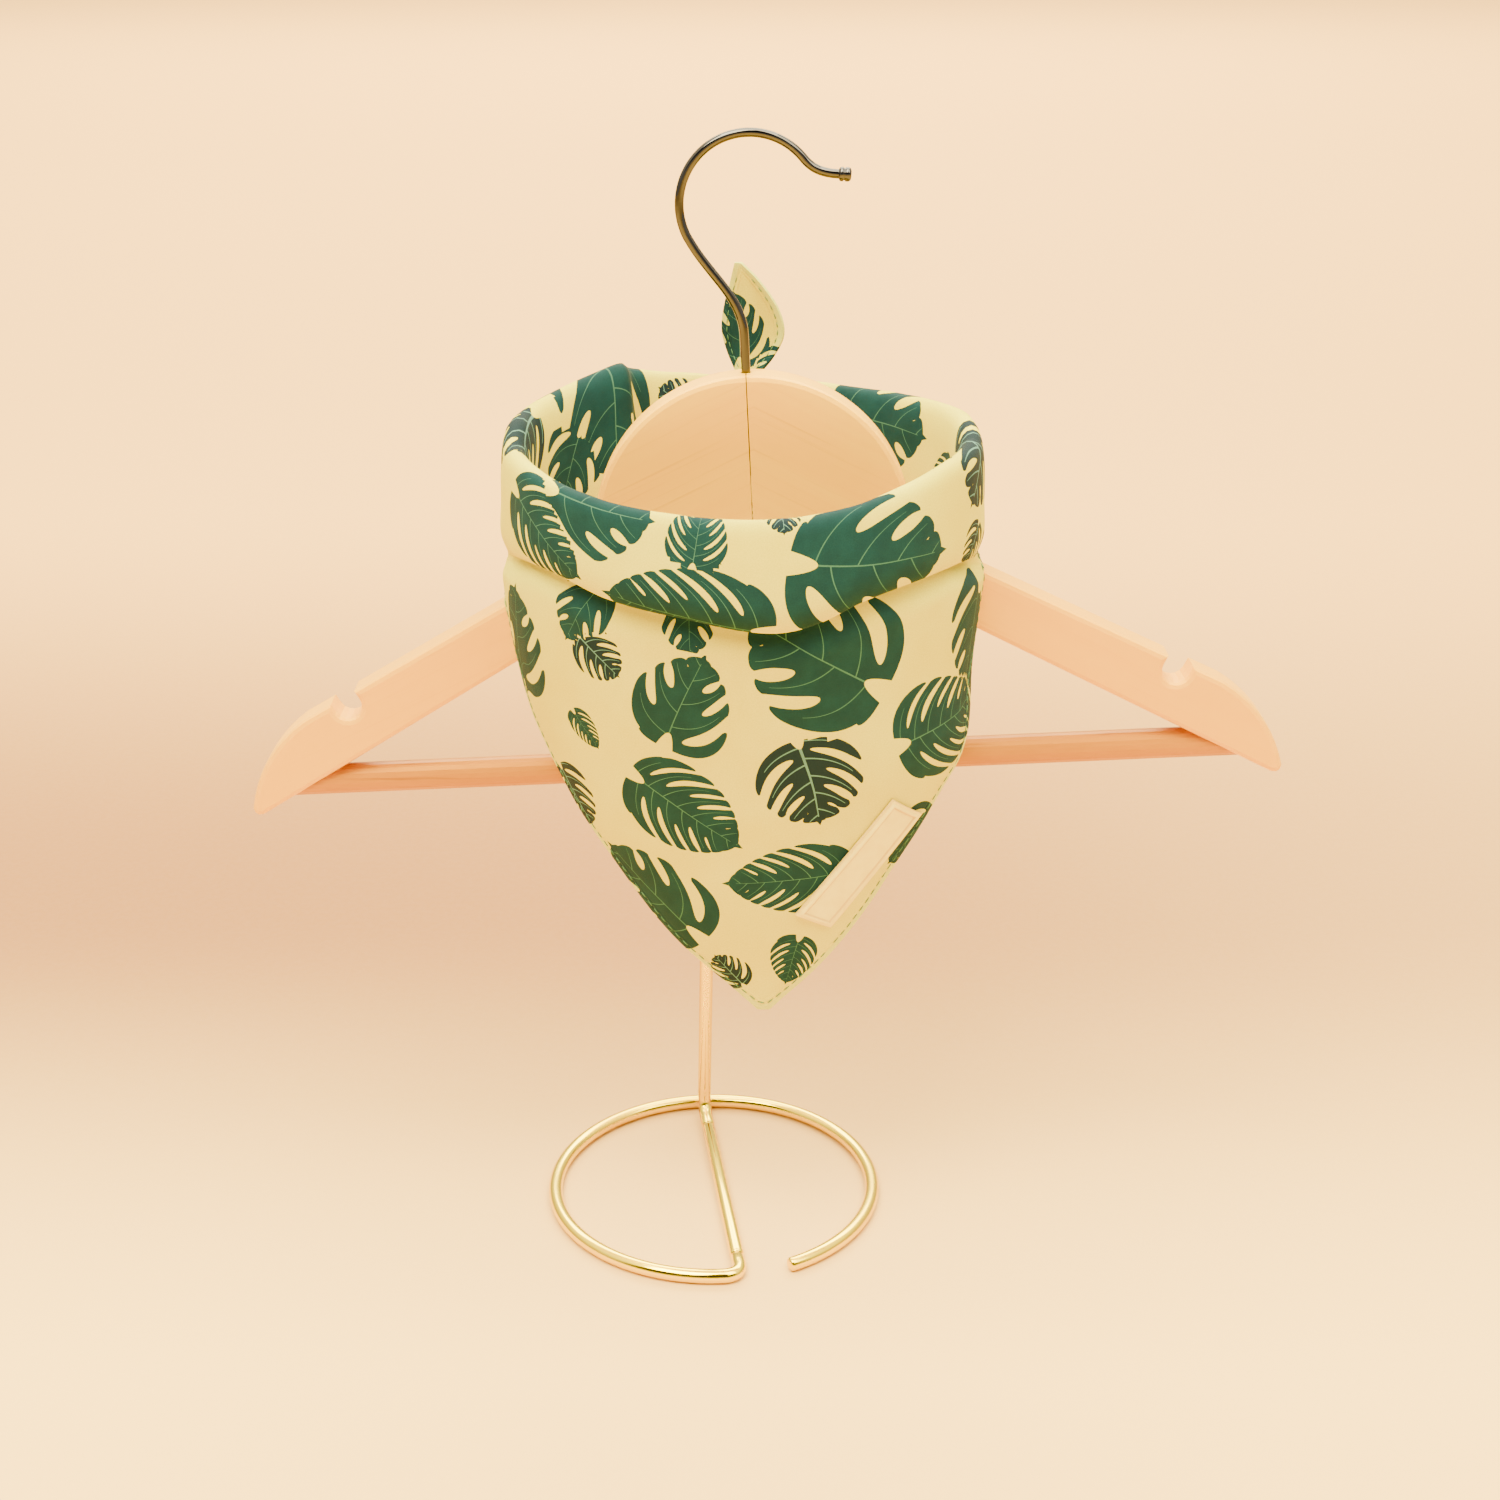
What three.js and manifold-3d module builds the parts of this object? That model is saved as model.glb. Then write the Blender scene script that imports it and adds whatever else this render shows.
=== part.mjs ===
// A cotton bandana, knotted into a loop round the neck of a small wooden clothes hanger, which sits in the
// cradle of a bent-wire display stand. Millimetres, +Z up, the front of the bandana towards -Y.
import * as THREE from 'three';
import Module from 'manifold-3d';
import { mergeVertices } from 'three/addons/utils/BufferGeometryUtils.js';

const wasm = await Module();
wasm.setup();

const SEAM = 0.3; // gap kept between pieces that touch
const DEGREE = Math.PI / 180;

// Display stand: one round wire, bent into an open ring, a bar across it, an upright and a cradle.
const WIRE = 4.6; // diameter
const WIRE_SIDES = 10;
const RING_RADIUS = 53.0;
const RING_CENTRE = new THREE.Vector2(-12.1, 4.0);
const RING_FREE_END = -62.5; // degrees from +X, where the wire's free end stops
const RING_BEND = 274; // degrees, where the ring turns in to the bar
const POST_FOOT = new THREE.Vector2(-16.2, 51.4);
const POST_LEAN = 4.0; // how far the upright leans to the right over its height
const POST_TOP = 196;
const BEND = 6; // how far from its corner a bend in the wire starts
const CRADLE = { x: 1.1, y: -4.3, z: 226.6, lip: 4.4, rise: 1.4 }; // wire under the arch, turned up in front

// Hanger: two mirrored halves of 12 mm board that meet on a seam, with a round head.
const HANGER_X = 1.0;
const HEAD_Z = 231.2; // height of the head's centre
const HEAD_RADIUS = 46.8;
const BOARD = 12;
const BOARD_ROUND = 1.6; // rounding of the board's edges
const ROLL = 2.65 * DEGREE; // the hanger hangs a little higher on its right side
const HALF_SPAN = 158.3;
const ARM_TOP = { apex: 21.3, slope: 0.531 }; // upper edge of an arm, from the head's centre
const ARM_FOOT = { apex: 4.3, slope: 0.563 }; // lower edge of an arm
const NOTCH = { at: 126.7, width: 8.5, depth: 7.2 };
const BAR = { z: -73.9, diameter: 9.4, end: 147.3 };
const HOOK_WIRE = 2.6;
const HOOK_SINK = 26; // length of shank inside the wood
const HOOK = { x: 3.2, z: 94, radius: 19.7, from: 203, to: 36 }; // the crook's circle and its arc, degrees
const KNOB = { diameter: 4.0, length: 3.6 };

// Cloth, two layers of printed cotton sewn together. The loop is an ellipse in plan at its rim.
const CLOTH = 1.2;
const LOOP = { x: -2.2, y: -2, across: 66.8, forward: 51, back: 49 };
const INNER_LAYER = -6.5; // how far inside the rim line the rolled-in layer hangs
const TUCK = 0.9; // where the layer under the crease runs up again
const FRONT_ENDS = 83.7; // degrees from the front, where the rolled edge passes to the back stretches
const BACK_STARTS = 84.15;
const BACK_ENDS = 172.1;

// Rolled edge at the front, a row for each section: turn is degrees from the front, positive to the right;
// rim and crease are the heights of its top and bottom; swell is how far its face stands out.
const COLLAR = [
  { turn: -84, rim: 258.2, crease: 226.5, swell: 0.8 },
  { turn: -67, rim: 256.8, crease: 229.5, swell: 1.0 },
  { turn: -49, rim: 253.8, crease: 229.4, swell: 1.6 },
  { turn: -33, rim: 251.2, crease: 225.5, swell: 2.2 },
  { turn: -15, rim: 249.4, crease: 222.2, swell: 2.8 },
  { turn: 4, rim: 248.5, crease: 218.2, swell: 3.2 },
  { turn: 14, rim: 249.0, crease: 219.0, swell: 3.0 },
  { turn: 28, rim: 251.0, crease: 225.0, swell: 2.4 },
  { turn: 42, rim: 254.5, crease: 228.0, swell: 1.8 },
  { turn: 60, rim: 258.2, crease: 229.0, swell: 1.2 },
  { turn: 84, rim: 259.8, crease: 226.0, swell: 0.8 },
];

// Stretches from the sides to the knot, with turn counted towards the back on either side. The crease fades;
// foot is the lower edge, which lies on the hanger's arm at first; flare is how far the foot stands out;
// drop is the length of the inner layer; back moves a section away from the hanger; puff is its fullness.
const BACK_LEFT = [
  { turn: 84, rim: 258.2, crease: 226.5, foot: 210.4, flare: 3.6, drop: 31, back: 0, puff: 1 },
  { turn: 97, rim: 262.4, crease: 226.0, foot: 211.0, flare: 3.2, drop: 34, back: 0, puff: 1 },
  { turn: 110, rim: 263.5, crease: 227.0, foot: 215.5, flare: 2.4, drop: 35, back: 1, puff: 1 },
  { turn: 123, rim: 266.5, crease: 229.0, foot: 220.0, flare: 2.0, drop: 36, back: 0, puff: 1 },
  { turn: 135, rim: 270.6, crease: 233.0, foot: 226.0, flare: 2.0, drop: 36, back: -3, puff: 1 },
  { turn: 143, rim: 273.0, crease: 237.0, foot: 230.0, flare: 2.0, drop: 36, back: -5, puff: 1 },
  { turn: 150, rim: 269.5, crease: 239.0, foot: 234.0, flare: 1.8, drop: 31, back: 3, puff: 0.8 },
  { turn: 160, rim: 267.5, crease: 243.0, foot: 239.0, flare: 1.6, drop: 26, back: 3, puff: 0.65 },
  { turn: 173, rim: 265.5, crease: 247.0, foot: 244.0, flare: 1.5, drop: 20, back: 5, puff: 0.5 },
];
const BACK_RIGHT = [
  { turn: 84, rim: 259.8, crease: 226.0, foot: 220.9, flare: 4.4, drop: 31, back: 0, puff: 1 },
  { turn: 97, rim: 262.4, crease: 227.5, foot: 221.4, flare: 3.2, drop: 33, back: 0, puff: 1 },
  { turn: 112, rim: 263.3, crease: 229.0, foot: 222.5, flare: 2.4, drop: 34, back: 1, puff: 1 },
  { turn: 127, rim: 263.9, crease: 231.5, foot: 226.0, flare: 2.0, drop: 33, back: 0, puff: 1 },
  { turn: 141, rim: 263.5, crease: 235.0, foot: 230.5, flare: 2.0, drop: 29, back: 2, puff: 0.9 },
  { turn: 150, rim: 264.0, crease: 239.0, foot: 235.0, flare: 1.8, drop: 25, back: 1, puff: 0.75 },
  { turn: 160, rim: 264.3, crease: 243.0, foot: 239.0, flare: 1.6, drop: 22, back: 3, puff: 0.65 },
  { turn: 173, rim: 264.6, crease: 247.0, foot: 244.0, flare: 1.5, drop: 19, back: 5, puff: 0.5 },
];
const PLEATS = { count: 2, depth: 1.1, from: 128 }; // waves that gather into the knot

// Hanging triangle, a row for each height: left and right are its outline, leftEdge, rightEdge and front are
// how far forward its hems and its middle lie, and wrap is how far the row curls round, in degrees.
const PANEL = [
  { z: 88.8, left: 2.4, leftEdge: -33.0, right: 5.8, rightEdge: -33.0, front: -33.2, wrap: 28 },
  { z: 92, left: -1.0, leftEdge: -32.6, right: 9.0, rightEdge: -32.8, front: -33.9, wrap: 30 },
  { z: 97, left: -6.3, leftEdge: -31.8, right: 14.6, rightEdge: -32.2, front: -35.0, wrap: 34 },
  { z: 102, left: -12.5, leftEdge: -30.8, right: 19.8, rightEdge: -31.5, front: -36.1, wrap: 38 },
  { z: 110, left: -21.2, leftEdge: -29.3, right: 26.7, rightEdge: -30.6, front: -37.9, wrap: 44 },
  { z: 118, left: -28.4, leftEdge: -27.8, right: 32.7, rightEdge: -29.5, front: -39.5, wrap: 48 },
  { z: 126, left: -34.4, leftEdge: -26.0, right: 38.1, rightEdge: -28.2, front: -41.0, wrap: 51 },
  { z: 134, left: -40.2, leftEdge: -24.0, right: 42.9, rightEdge: -27.0, front: -42.4, wrap: 54 },
  { z: 142, left: -45.8, leftEdge: -22.0, right: 48.0, rightEdge: -25.5, front: -43.8, wrap: 58 },
  { z: 150, left: -51.1, leftEdge: -19.5, right: 52.9, rightEdge: -24.0, front: -45.2, wrap: 62 },
  { z: 158, left: -55.6, leftEdge: -17.0, right: 57.5, rightEdge: -22.0, front: -46.6, wrap: 66 },
  { z: 166, left: -59.8, leftEdge: -14.5, right: 62.1, rightEdge: -19.5, front: -47.9, wrap: 70 },
  { z: 174, left: -63.6, leftEdge: -12.0, right: 64.7, rightEdge: -17.0, front: -49.1, wrap: 74 },
  { z: 182, left: -66.5, leftEdge: -10.0, right: 65.4, rightEdge: -14.5, front: -50.2, wrap: 78 },
  { z: 190, left: -68.4, leftEdge: -8.5, right: 65.5, rightEdge: -12.0, front: -51.2, wrap: 81 },
  { z: 198, left: -69.8, leftEdge: -8.0, right: 66.2, rightEdge: -10.0, front: -52.1, wrap: 83 },
  { z: 206, left: -70.9, leftEdge: -8.0, right: 67.2, rightEdge: -8.8, front: -52.9, wrap: 83 },
  { z: 214, left: -71.8, leftEdge: -8.0, right: 68.1, rightEdge: -8.0, front: -53.5, wrap: 83 },
  { z: 222, left: -72.4, leftEdge: -8.0, right: 68.8, rightEdge: -8.0, front: -53.8, wrap: 83 },
  { z: 240, left: -72.4, leftEdge: -8.0, right: 68.8, rightEdge: -8.0, front: -53.8, wrap: 83 },
];
const PANEL_TOP = 9; // how far the panel runs up behind the crease
const PANEL_STEP = { front: 1.7, left: 4.6, right: 5.3 }; // how far it steps in there

// Sewn-on label, by its corners on the panel, and the knot and its free ends.
const LABEL = { thickness: 0.9, upper: [[41.2, 160.7], [50.1, 152.5]], lower: [[13.2, 124.6], [23.6, 118.3]] };
const KNOT = { x: -2.2, y: 54.5, z: 254.2, width: 20, depth: 15.4, height: 23, grooves: 5, groove: 0.7 };
// Free ends, a row for each section along them: half width, position and how deep the section is curled.
const TAIL_UP = [
  { along: 0, x: -0.8, y: 56.0, z: 265.8, half: 3.6, curl: 2.4 },
  { along: 0.2, x: 0.2, y: 57.0, z: 271.5, half: 7.2, curl: 3.8 },
  { along: 0.42, x: 0.9, y: 56.8, z: 278.5, half: 9.6, curl: 4.2 },
  { along: 0.65, x: 0.4, y: 56.2, z: 286.5, half: 8.2, curl: 3.6 },
  { along: 0.85, x: -1.4, y: 55.6, z: 294.5, half: 4.4, curl: 2.0 },
  { along: 1, x: -3.6, y: 55.2, z: 300.0, half: 1.0, curl: 0.4 },
];
const TAIL_DOWN = [
  { along: 0, x: -0.4, y: 57.6, z: 243.0, half: 3.6, curl: 2.6 },
  { along: 0.2, x: 1.8, y: 60.0, z: 237.0, half: 6.8, curl: 3.8 },
  { along: 0.45, x: 5.0, y: 61.0, z: 228.5, half: 9.0, curl: 4.0 },
  { along: 0.7, x: 7.4, y: 60.5, z: 219.0, half: 7.4, curl: 3.2 },
  { along: 0.88, x: 9.2, y: 59.6, z: 211.0, half: 3.8, curl: 1.6 },
  { along: 1, x: 10.4, y: 59.0, z: 205.5, half: 1.0, curl: 0.4 },
];

const finishes = {
  cloth: new THREE.MeshStandardMaterial({ color: 0xe6e0b4, roughness: 0.75, metalness: 0 }),
  label: new THREE.MeshStandardMaterial({ color: 0xf0dcb8, roughness: 0.8, metalness: 0 }),
  wood: new THREE.MeshStandardMaterial({ color: 0xf2c184, roughness: 0.4, metalness: 0 }),
  bar: new THREE.MeshStandardMaterial({ color: 0xd99a5a, roughness: 0.4, metalness: 0 }),
  plated: new THREE.MeshStandardMaterial({ color: 0xc8c8c8, roughness: 0.15, metalness: 1 }),
  gold: new THREE.MeshStandardMaterial({ color: 0xe8c070, roughness: 0.3, metalness: 1 }),
};

// Value of a named column of a table, on a smooth curve through its rows, with the rows ordered by the key.
function column(table, name, at, key = 'turn') {
  const last = table.length - 1;
  let i = 0;
  while (i < last - 1 && at > table[i + 1][key]) i += 1;
  const row = (k) => table[THREE.MathUtils.clamp(k, 0, last)];
  const slope = (k) => {
    const [before, after] = [row(k - 1), row(k + 1)];
    return (after[name] - before[name]) / (after[key] - before[key]);
  };
  const width = row(i + 1)[key] - row(i)[key];
  const t = THREE.MathUtils.clamp((at - row(i)[key]) / width, 0, 1);
  const [t2, t3] = [t * t, t * t * t];
  return (
    (2 * t3 - 3 * t2 + 1) * row(i)[name] +
    (t3 - 2 * t2 + t) * width * slope(i) +
    (3 * t2 - 2 * t3) * row(i + 1)[name] +
    (t3 - t2) * width * slope(i + 1)
  );
}

// Closed body from points and triangles, turned so that its faces look outwards.
function closedBody(points, triangles) {
  const volume = triangles.reduce((sum, [a, b, c]) => {
    const across = new THREE.Vector3().crossVectors(points[b], points[c]);
    return sum + points[a].dot(across);
  }, 0);
  const ordered = volume < 0 ? triangles.map(([a, b, c]) => [a, c, b]) : triangles;
  const body = new THREE.BufferGeometry();
  body.setAttribute('position', new THREE.Float32BufferAttribute(points.flatMap((p) => p.toArray()), 3));
  body.setIndex(ordered.flat());
  return body;
}

// Triangles between neighbouring rings of the same number of points.
function ringSides(ringCount, count) {
  const triangles = [];
  for (let r = 0; r < ringCount - 1; r += 1) {
    for (let k = 0; k < count; k += 1) {
      const [a, b] = [r * count + k, r * count + ((k + 1) % count)];
      triangles.push([a, b, b + count], [a, b + count, a + count]);
    }
  }
  return triangles;
}

// Body through rings of points, closed at both ends round a middle point.
function loft(rings) {
  const count = rings[0].length;
  const points = rings.flat();
  const triangles = ringSides(rings.length, count);
  const middleOf = (ring) => ring.reduce((sum, p) => sum.add(p), new THREE.Vector3()).divideScalar(count);
  const lastStart = (rings.length - 1) * count;
  points.push(middleOf(rings[0]), middleOf(rings[rings.length - 1]));
  const [near, far] = [points.length - 2, points.length - 1];
  for (let k = 0; k < count; k += 1) {
    const next = (k + 1) % count;
    triangles.push([near, next, k], [far, lastStart + k, lastStart + next]);
  }
  return closedBody(points, triangles);
}

// Tube of round section along a list of points, its section kept upright by the given up direction.
function wire(points, diameter, sides, up) {
  const radius = diameter / 2;
  const rings = points.map((point, i) => {
    const before = points[Math.max(i - 1, 0)];
    const after = points[Math.min(i + 1, points.length - 1)];
    const along = after.clone().sub(before).normalize();
    const across = new THREE.Vector3().crossVectors(along, up(i)).normalize();
    const upright = new THREE.Vector3().crossVectors(across, along);
    return Array.from({ length: sides }, (_, k) => {
      const angle = ((k + 0.5) / sides) * 2 * Math.PI + Math.PI / 2;
      return point
        .clone()
        .addScaledVector(across, -radius * Math.cos(angle))
        .addScaledVector(upright, radius * Math.sin(angle));
    });
  });
  return loft(rings);
}

// Points on an arc in a plane: centre, two unit directions, radius, and angles in degrees.
function arc(centre, right, top, radius, from, to, steps) {
  return Array.from({ length: steps + 1 }, (_, i) => {
    const angle = (from + ((to - from) * i) / steps) * DEGREE;
    return centre
      .clone()
      .addScaledVector(right, radius * Math.cos(angle))
      .addScaledVector(top, radius * Math.sin(angle));
  });
}

// A wall of cloth over a surface(u, v), with u and v from 0 to 1, half its thickness on each side.
function clothWall(surface, columns, rows, thickness = CLOTH) {
  const step = 1e-3;
  const normal = (u, v) => {
    const [u0, u1] = [Math.max(u - step, 0), Math.min(u + step, 1)];
    const [v0, v1] = [Math.max(v - step, 0), Math.min(v + step, 1)];
    const alongU = surface(u1, v).sub(surface(u0, v));
    const alongV = surface(u, v1).sub(surface(u, v0));
    return alongU.cross(alongV).normalize();
  };
  const rings = Array.from({ length: columns + 1 }, (_, i) => {
    const [near, far] = [[], []];
    for (let j = 0; j <= rows; j += 1) {
      const [point, out] = [surface(i / columns, j / rows), normal(i / columns, j / rows)];
      near.push(point.clone().addScaledVector(out, thickness / 2));
      far.push(point.clone().addScaledVector(out, -thickness / 2));
    }
    return [...near, ...far.reverse()];
  });
  const count = 2 * (rows + 1);
  const lastStart = columns * count;
  const triangles = ringSides(columns + 1, count);
  for (let k = 0; k < rows; k += 1) {
    const [a, b, c, d] = [k, k + 1, count - 2 - k, count - 1 - k];
    triangles.push([a, c, b], [a, d, c]);
    triangles.push([lastStart + a, lastStart + b, lastStart + c], [lastStart + a, lastStart + c, lastStart + d]);
  }
  return closedBody(rings.flat(), triangles);
}

// Point of the loop in plan at a turn, moved out from the rim line, at a height.
function loopPoint(turn, out, z) {
  const angle = turn * DEGREE;
  const depth = Math.cos(angle) > 0 ? LOOP.forward : LOOP.back;
  return new THREE.Vector3(
    LOOP.x + (LOOP.across + out) * Math.sin(angle),
    LOOP.y - (depth + out) * Math.cos(angle),
    z,
  );
}

// Smooth curve through [out, z] pairs, as a function of 0 to 1.
function section(pairs) {
  const curve = new THREE.CatmullRomCurve3(pairs.map(([out, z]) => new THREE.Vector3(out, z, 0)), false, 'centripetal');
  return (v) => curve.getPoint(v);
}

// Rolled edge at the front: up inside, over the rim, down outside, round the crease and up behind it.
function collarSurface(u, v) {
  const turn = THREE.MathUtils.lerp(-FRONT_ENDS, FRONT_ENDS, u);
  const rim = column(COLLAR, 'rim', turn);
  const crease = column(COLLAR, 'crease', turn);
  const swell = column(COLLAR, 'swell', turn);
  const lowest = 2.8 + swell * 0.8;
  const fold = lowest - TUCK;
  const profile = section([
    [INNER_LAYER, rim - 31],
    [INNER_LAYER + 1.3, rim - 16],
    [-3.9, rim - 5],
    [-2.2, rim - 0.9],
    [0, rim],
    [2, rim - 1.4],
    [2.8 + swell * 0.4, rim - 8],
    [2.8 + swell * 0.8, (rim + crease) / 2],
    [3 + swell, crease + 6],
    [lowest, crease + 2.2],
    [lowest - fold * 0.25, crease + 0.45],
    [lowest - fold * 0.6, crease],
    [TUCK + fold * 0.1, crease + 0.9],
    [TUCK, crease + 3],
    [TUCK - 0.1, crease + PANEL_TOP],
  ]);
  const at = profile(v);
  return loopPoint(turn, at.x, at.y);
}

// A stretch towards the knot: the same rolled edge, whose crease fades into a hanging foot.
function backSurface(table, side, u, v) {
  const turn = THREE.MathUtils.lerp(BACK_STARTS, BACK_ENDS, u);
  const [rim, crease, foot, flare, drop, back, puff] = [
    'rim',
    'crease',
    'foot',
    'flare',
    'drop',
    'back',
    'puff',
  ].map((name) => column(table, name, turn));
  const valley = THREE.MathUtils.smoothstep(turn, 84, 130);
  const profile = section([
    [INNER_LAYER, rim - drop],
    [INNER_LAYER + 1.3, rim - drop * 0.5],
    [-3.9, rim - 5],
    [-2.2, rim - 0.9],
    [0, rim],
    [2, rim - 1.4],
    [3.1, rim - 8],
    [3.4, (rim + crease) / 2],
    [3.4, crease + 5],
    [THREE.MathUtils.lerp(1.9, 3, valley), crease],
    [THREE.MathUtils.lerp(2.6, 2.8, valley), THREE.MathUtils.lerp(crease, foot, 0.5)],
    [flare, foot],
  ]);
  const at = profile(v);
  const gather = THREE.MathUtils.smoothstep(turn, PLEATS.from, BACK_ENDS);
  const outside = THREE.MathUtils.smoothstep(v, 0.5, 0.6);
  const wave = PLEATS.depth * gather * outside * Math.sin(2 * Math.PI * PLEATS.count * ((v - 0.5) / 0.5));
  const point = loopPoint(side * turn, at.x * puff + back + wave, at.y);
  return point;
}

// The hanging triangle at a height, with across from -1 at its left hem to 1 at its right.
function panelPoint(across, z) {
  const edge = across < 0 ? 'leftEdge' : 'rightEdge';
  const [left, right, hem, front, wrap] = ['left', 'right', edge, 'front', 'wrap'].map((name) =>
    column(PANEL, name, z, 'z'),
  );
  const curl = wrap * DEGREE;
  const angle = across * curl;
  const depth = (Math.cos(angle) - Math.cos(curl)) / (1 - Math.cos(curl));
  const crease = column(COLLAR, 'crease', THREE.MathUtils.radToDeg(angle));
  const side = angle < 0 ? PANEL_STEP.left : PANEL_STEP.right;
  const stepIn = THREE.MathUtils.lerp(PANEL_STEP.front, side, Math.sin(angle) ** 2);
  const step = stepIn * THREE.MathUtils.smoothstep(z, crease - 7.5, crease - 1.8);
  return new THREE.Vector3(
    (left + right) / 2 + (((right - left) / 2) * Math.sin(angle)) / Math.sin(curl) - step * Math.sin(angle),
    THREE.MathUtils.lerp(hem, front, depth) + step * Math.cos(angle),
    z,
  );
}

function panelSurface(u, v) {
  const across = 2 * u - 1;
  const top = column(COLLAR, 'crease', across * FRONT_ENDS) + PANEL_TOP;
  return panelPoint(across, THREE.MathUtils.lerp(top, PANEL[0].z, v));
}

// Direction out of the panel.
function panelOut(across, z) {
  const step = 0.02;
  const sideways = panelPoint(across + step, z).sub(panelPoint(across - step, z));
  const down = panelPoint(across, z - 0.5).sub(panelPoint(across, z + 0.5));
  return down.cross(sideways).normalize();
}

// The label's middle surface, made from the panel's points and moved out.
function labelSurface(u, v) {
  const corner = (row, column_) => new THREE.Vector2(...row[column_]);
  const top = corner(LABEL.upper, 0).lerp(corner(LABEL.upper, 1), u);
  const bottom = corner(LABEL.lower, 0).lerp(corner(LABEL.lower, 1), u);
  const at = top.lerp(bottom, v);
  const [left, right, wrap] = ['left', 'right', 'wrap'].map((name) => column(PANEL, name, at.y, 'z'));
  const share = (at.x - (left + right) / 2) / ((right - left) / 2);
  const across = Math.asin(share * Math.sin(wrap * DEGREE)) / (wrap * DEGREE);
  const out = CLOTH / 2 + SEAM + LABEL.thickness / 2;
  return panelPoint(across, at.y).addScaledVector(panelOut(across, at.y), out);
}

// A free end of the knot: a pointed strip, curled lengthwise towards the front.
function tailSurface(table, flip, u, v) {
  const [x, y, z, half, curl] = ['x', 'y', 'z', 'half', 'curl'].map((name) => column(table, name, v, 'along'));
  const across = (2 * u - 1) * flip;
  return new THREE.Vector3(x + half * across, y - curl * across * Math.abs(across) ** 0.6, z);
}

// The knot: a rounded lump of wound cloth, grooved where the folds pass round it.
function knotBody() {
  const [stacks, slices] = [14, 30];
  const rings = [];
  for (let i = 1; i < stacks; i += 1) {
    const lift = -Math.cos((i / stacks) * Math.PI);
    const girth = Math.sqrt(1 - Math.abs(lift) ** 3.2);
    const z = KNOT.z + (KNOT.height / 2) * lift;
    rings.push(
      Array.from({ length: slices }, (_, k) => {
        const angle = (k / slices) * 2 * Math.PI;
        const groove = 1 - (KNOT.groove / KNOT.depth) * 2 * (0.5 + 0.5 * Math.cos(KNOT.grooves * angle + 2.4 * lift));
        const squareness = (Math.abs(Math.cos(angle)) ** 3 + Math.abs(Math.sin(angle)) ** 3) ** (-1 / 3);
        const reach = girth * groove * squareness;
        return new THREE.Vector3(
          KNOT.x + (KNOT.width / 2) * reach * Math.cos(angle),
          KNOT.y + (KNOT.depth / 2) * reach * Math.sin(angle),
          z,
        );
      }),
    );
  }
  return loft(rings);
}

// Outline of the right half of the hanger, from the top of the head round to the middle of the arch, as
// points in x and z from the head's centre.
function hangerOutline() {
  const topAt = (x) => ARM_TOP.apex - ARM_TOP.slope * x;
  const footAt = (x) => ARM_FOOT.apex - ARM_FOOT.slope * x;
  const point = (x, z) => new THREE.Vector2(x, z);
  const round = (centre, radius, from, to, steps) =>
    Array.from({ length: steps + 1 }, (_, i) => {
      const angle = (from + ((to - from) * i) / steps) * DEGREE;
      return point(centre.x + radius * Math.cos(angle), centre.y + radius * Math.sin(angle));
    });
  const bend = (from, control, to, steps) =>
    new THREE.QuadraticBezierCurve(from, control, to).getPoints(steps).slice(1);

  const head = round(point(0, 0), HEAD_RADIUS, 90, 8, 26);
  const shoulder = bend(head[head.length - 1], point(46.8, topAt(48)), point(56, topAt(56)), 5);

  const pitch = -Math.atan(ARM_TOP.slope);
  const notchPoint = (p) => p.rotateAround(point(0, 0), pitch).add(point(NOTCH.at, topAt(NOTCH.at)));
  const notchRadius = NOTCH.width / 2;
  const notch = [
    point(-notchRadius, 0),
    ...round(point(0, notchRadius - NOTCH.depth), notchRadius, 180, 360, 8),
    point(notchRadius, 0),
  ].map(notchPoint);

  const tipRadius = 2.2;
  const tip = round(point(HALF_SPAN - tipRadius, -81), tipRadius, 0, -119, 3);
  const bow = bend(point(139.5, topAt(139.5)), point(154.5, -63), tip[0], 9);
  const archApex = point(0, -1.9);
  const arch = bend(point(22, footAt(22)), point(11, archApex.y), archApex, 7);
  return [...head, ...shoulder, ...notch, point(139.5, topAt(139.5)), ...bow, ...tip.slice(1), point(22, footAt(22)), ...arch];
}

// A closed three.js body as a solid, and back.
function solidFrom(body) {
  const bare = new THREE.BufferGeometry();
  bare.setAttribute('position', body.getAttribute('position'));
  if (body.index) bare.setIndex(body.index);
  const merged = mergeVertices(bare, 1e-4);
  return new wasm.Manifold(
    new wasm.Mesh({
      numProp: 3,
      vertProperties: merged.getAttribute('position').array,
      triVerts: new Uint32Array(merged.index.array),
    }),
  );
}

function bodyFrom(solid) {
  const mesh = solid.getMesh();
  const body = new THREE.BufferGeometry();
  body.setAttribute('position', new THREE.BufferAttribute(mesh.vertProperties.slice(), 3));
  body.setIndex(new THREE.BufferAttribute(mesh.triVerts.slice(), 1));
  return body;
}

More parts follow.
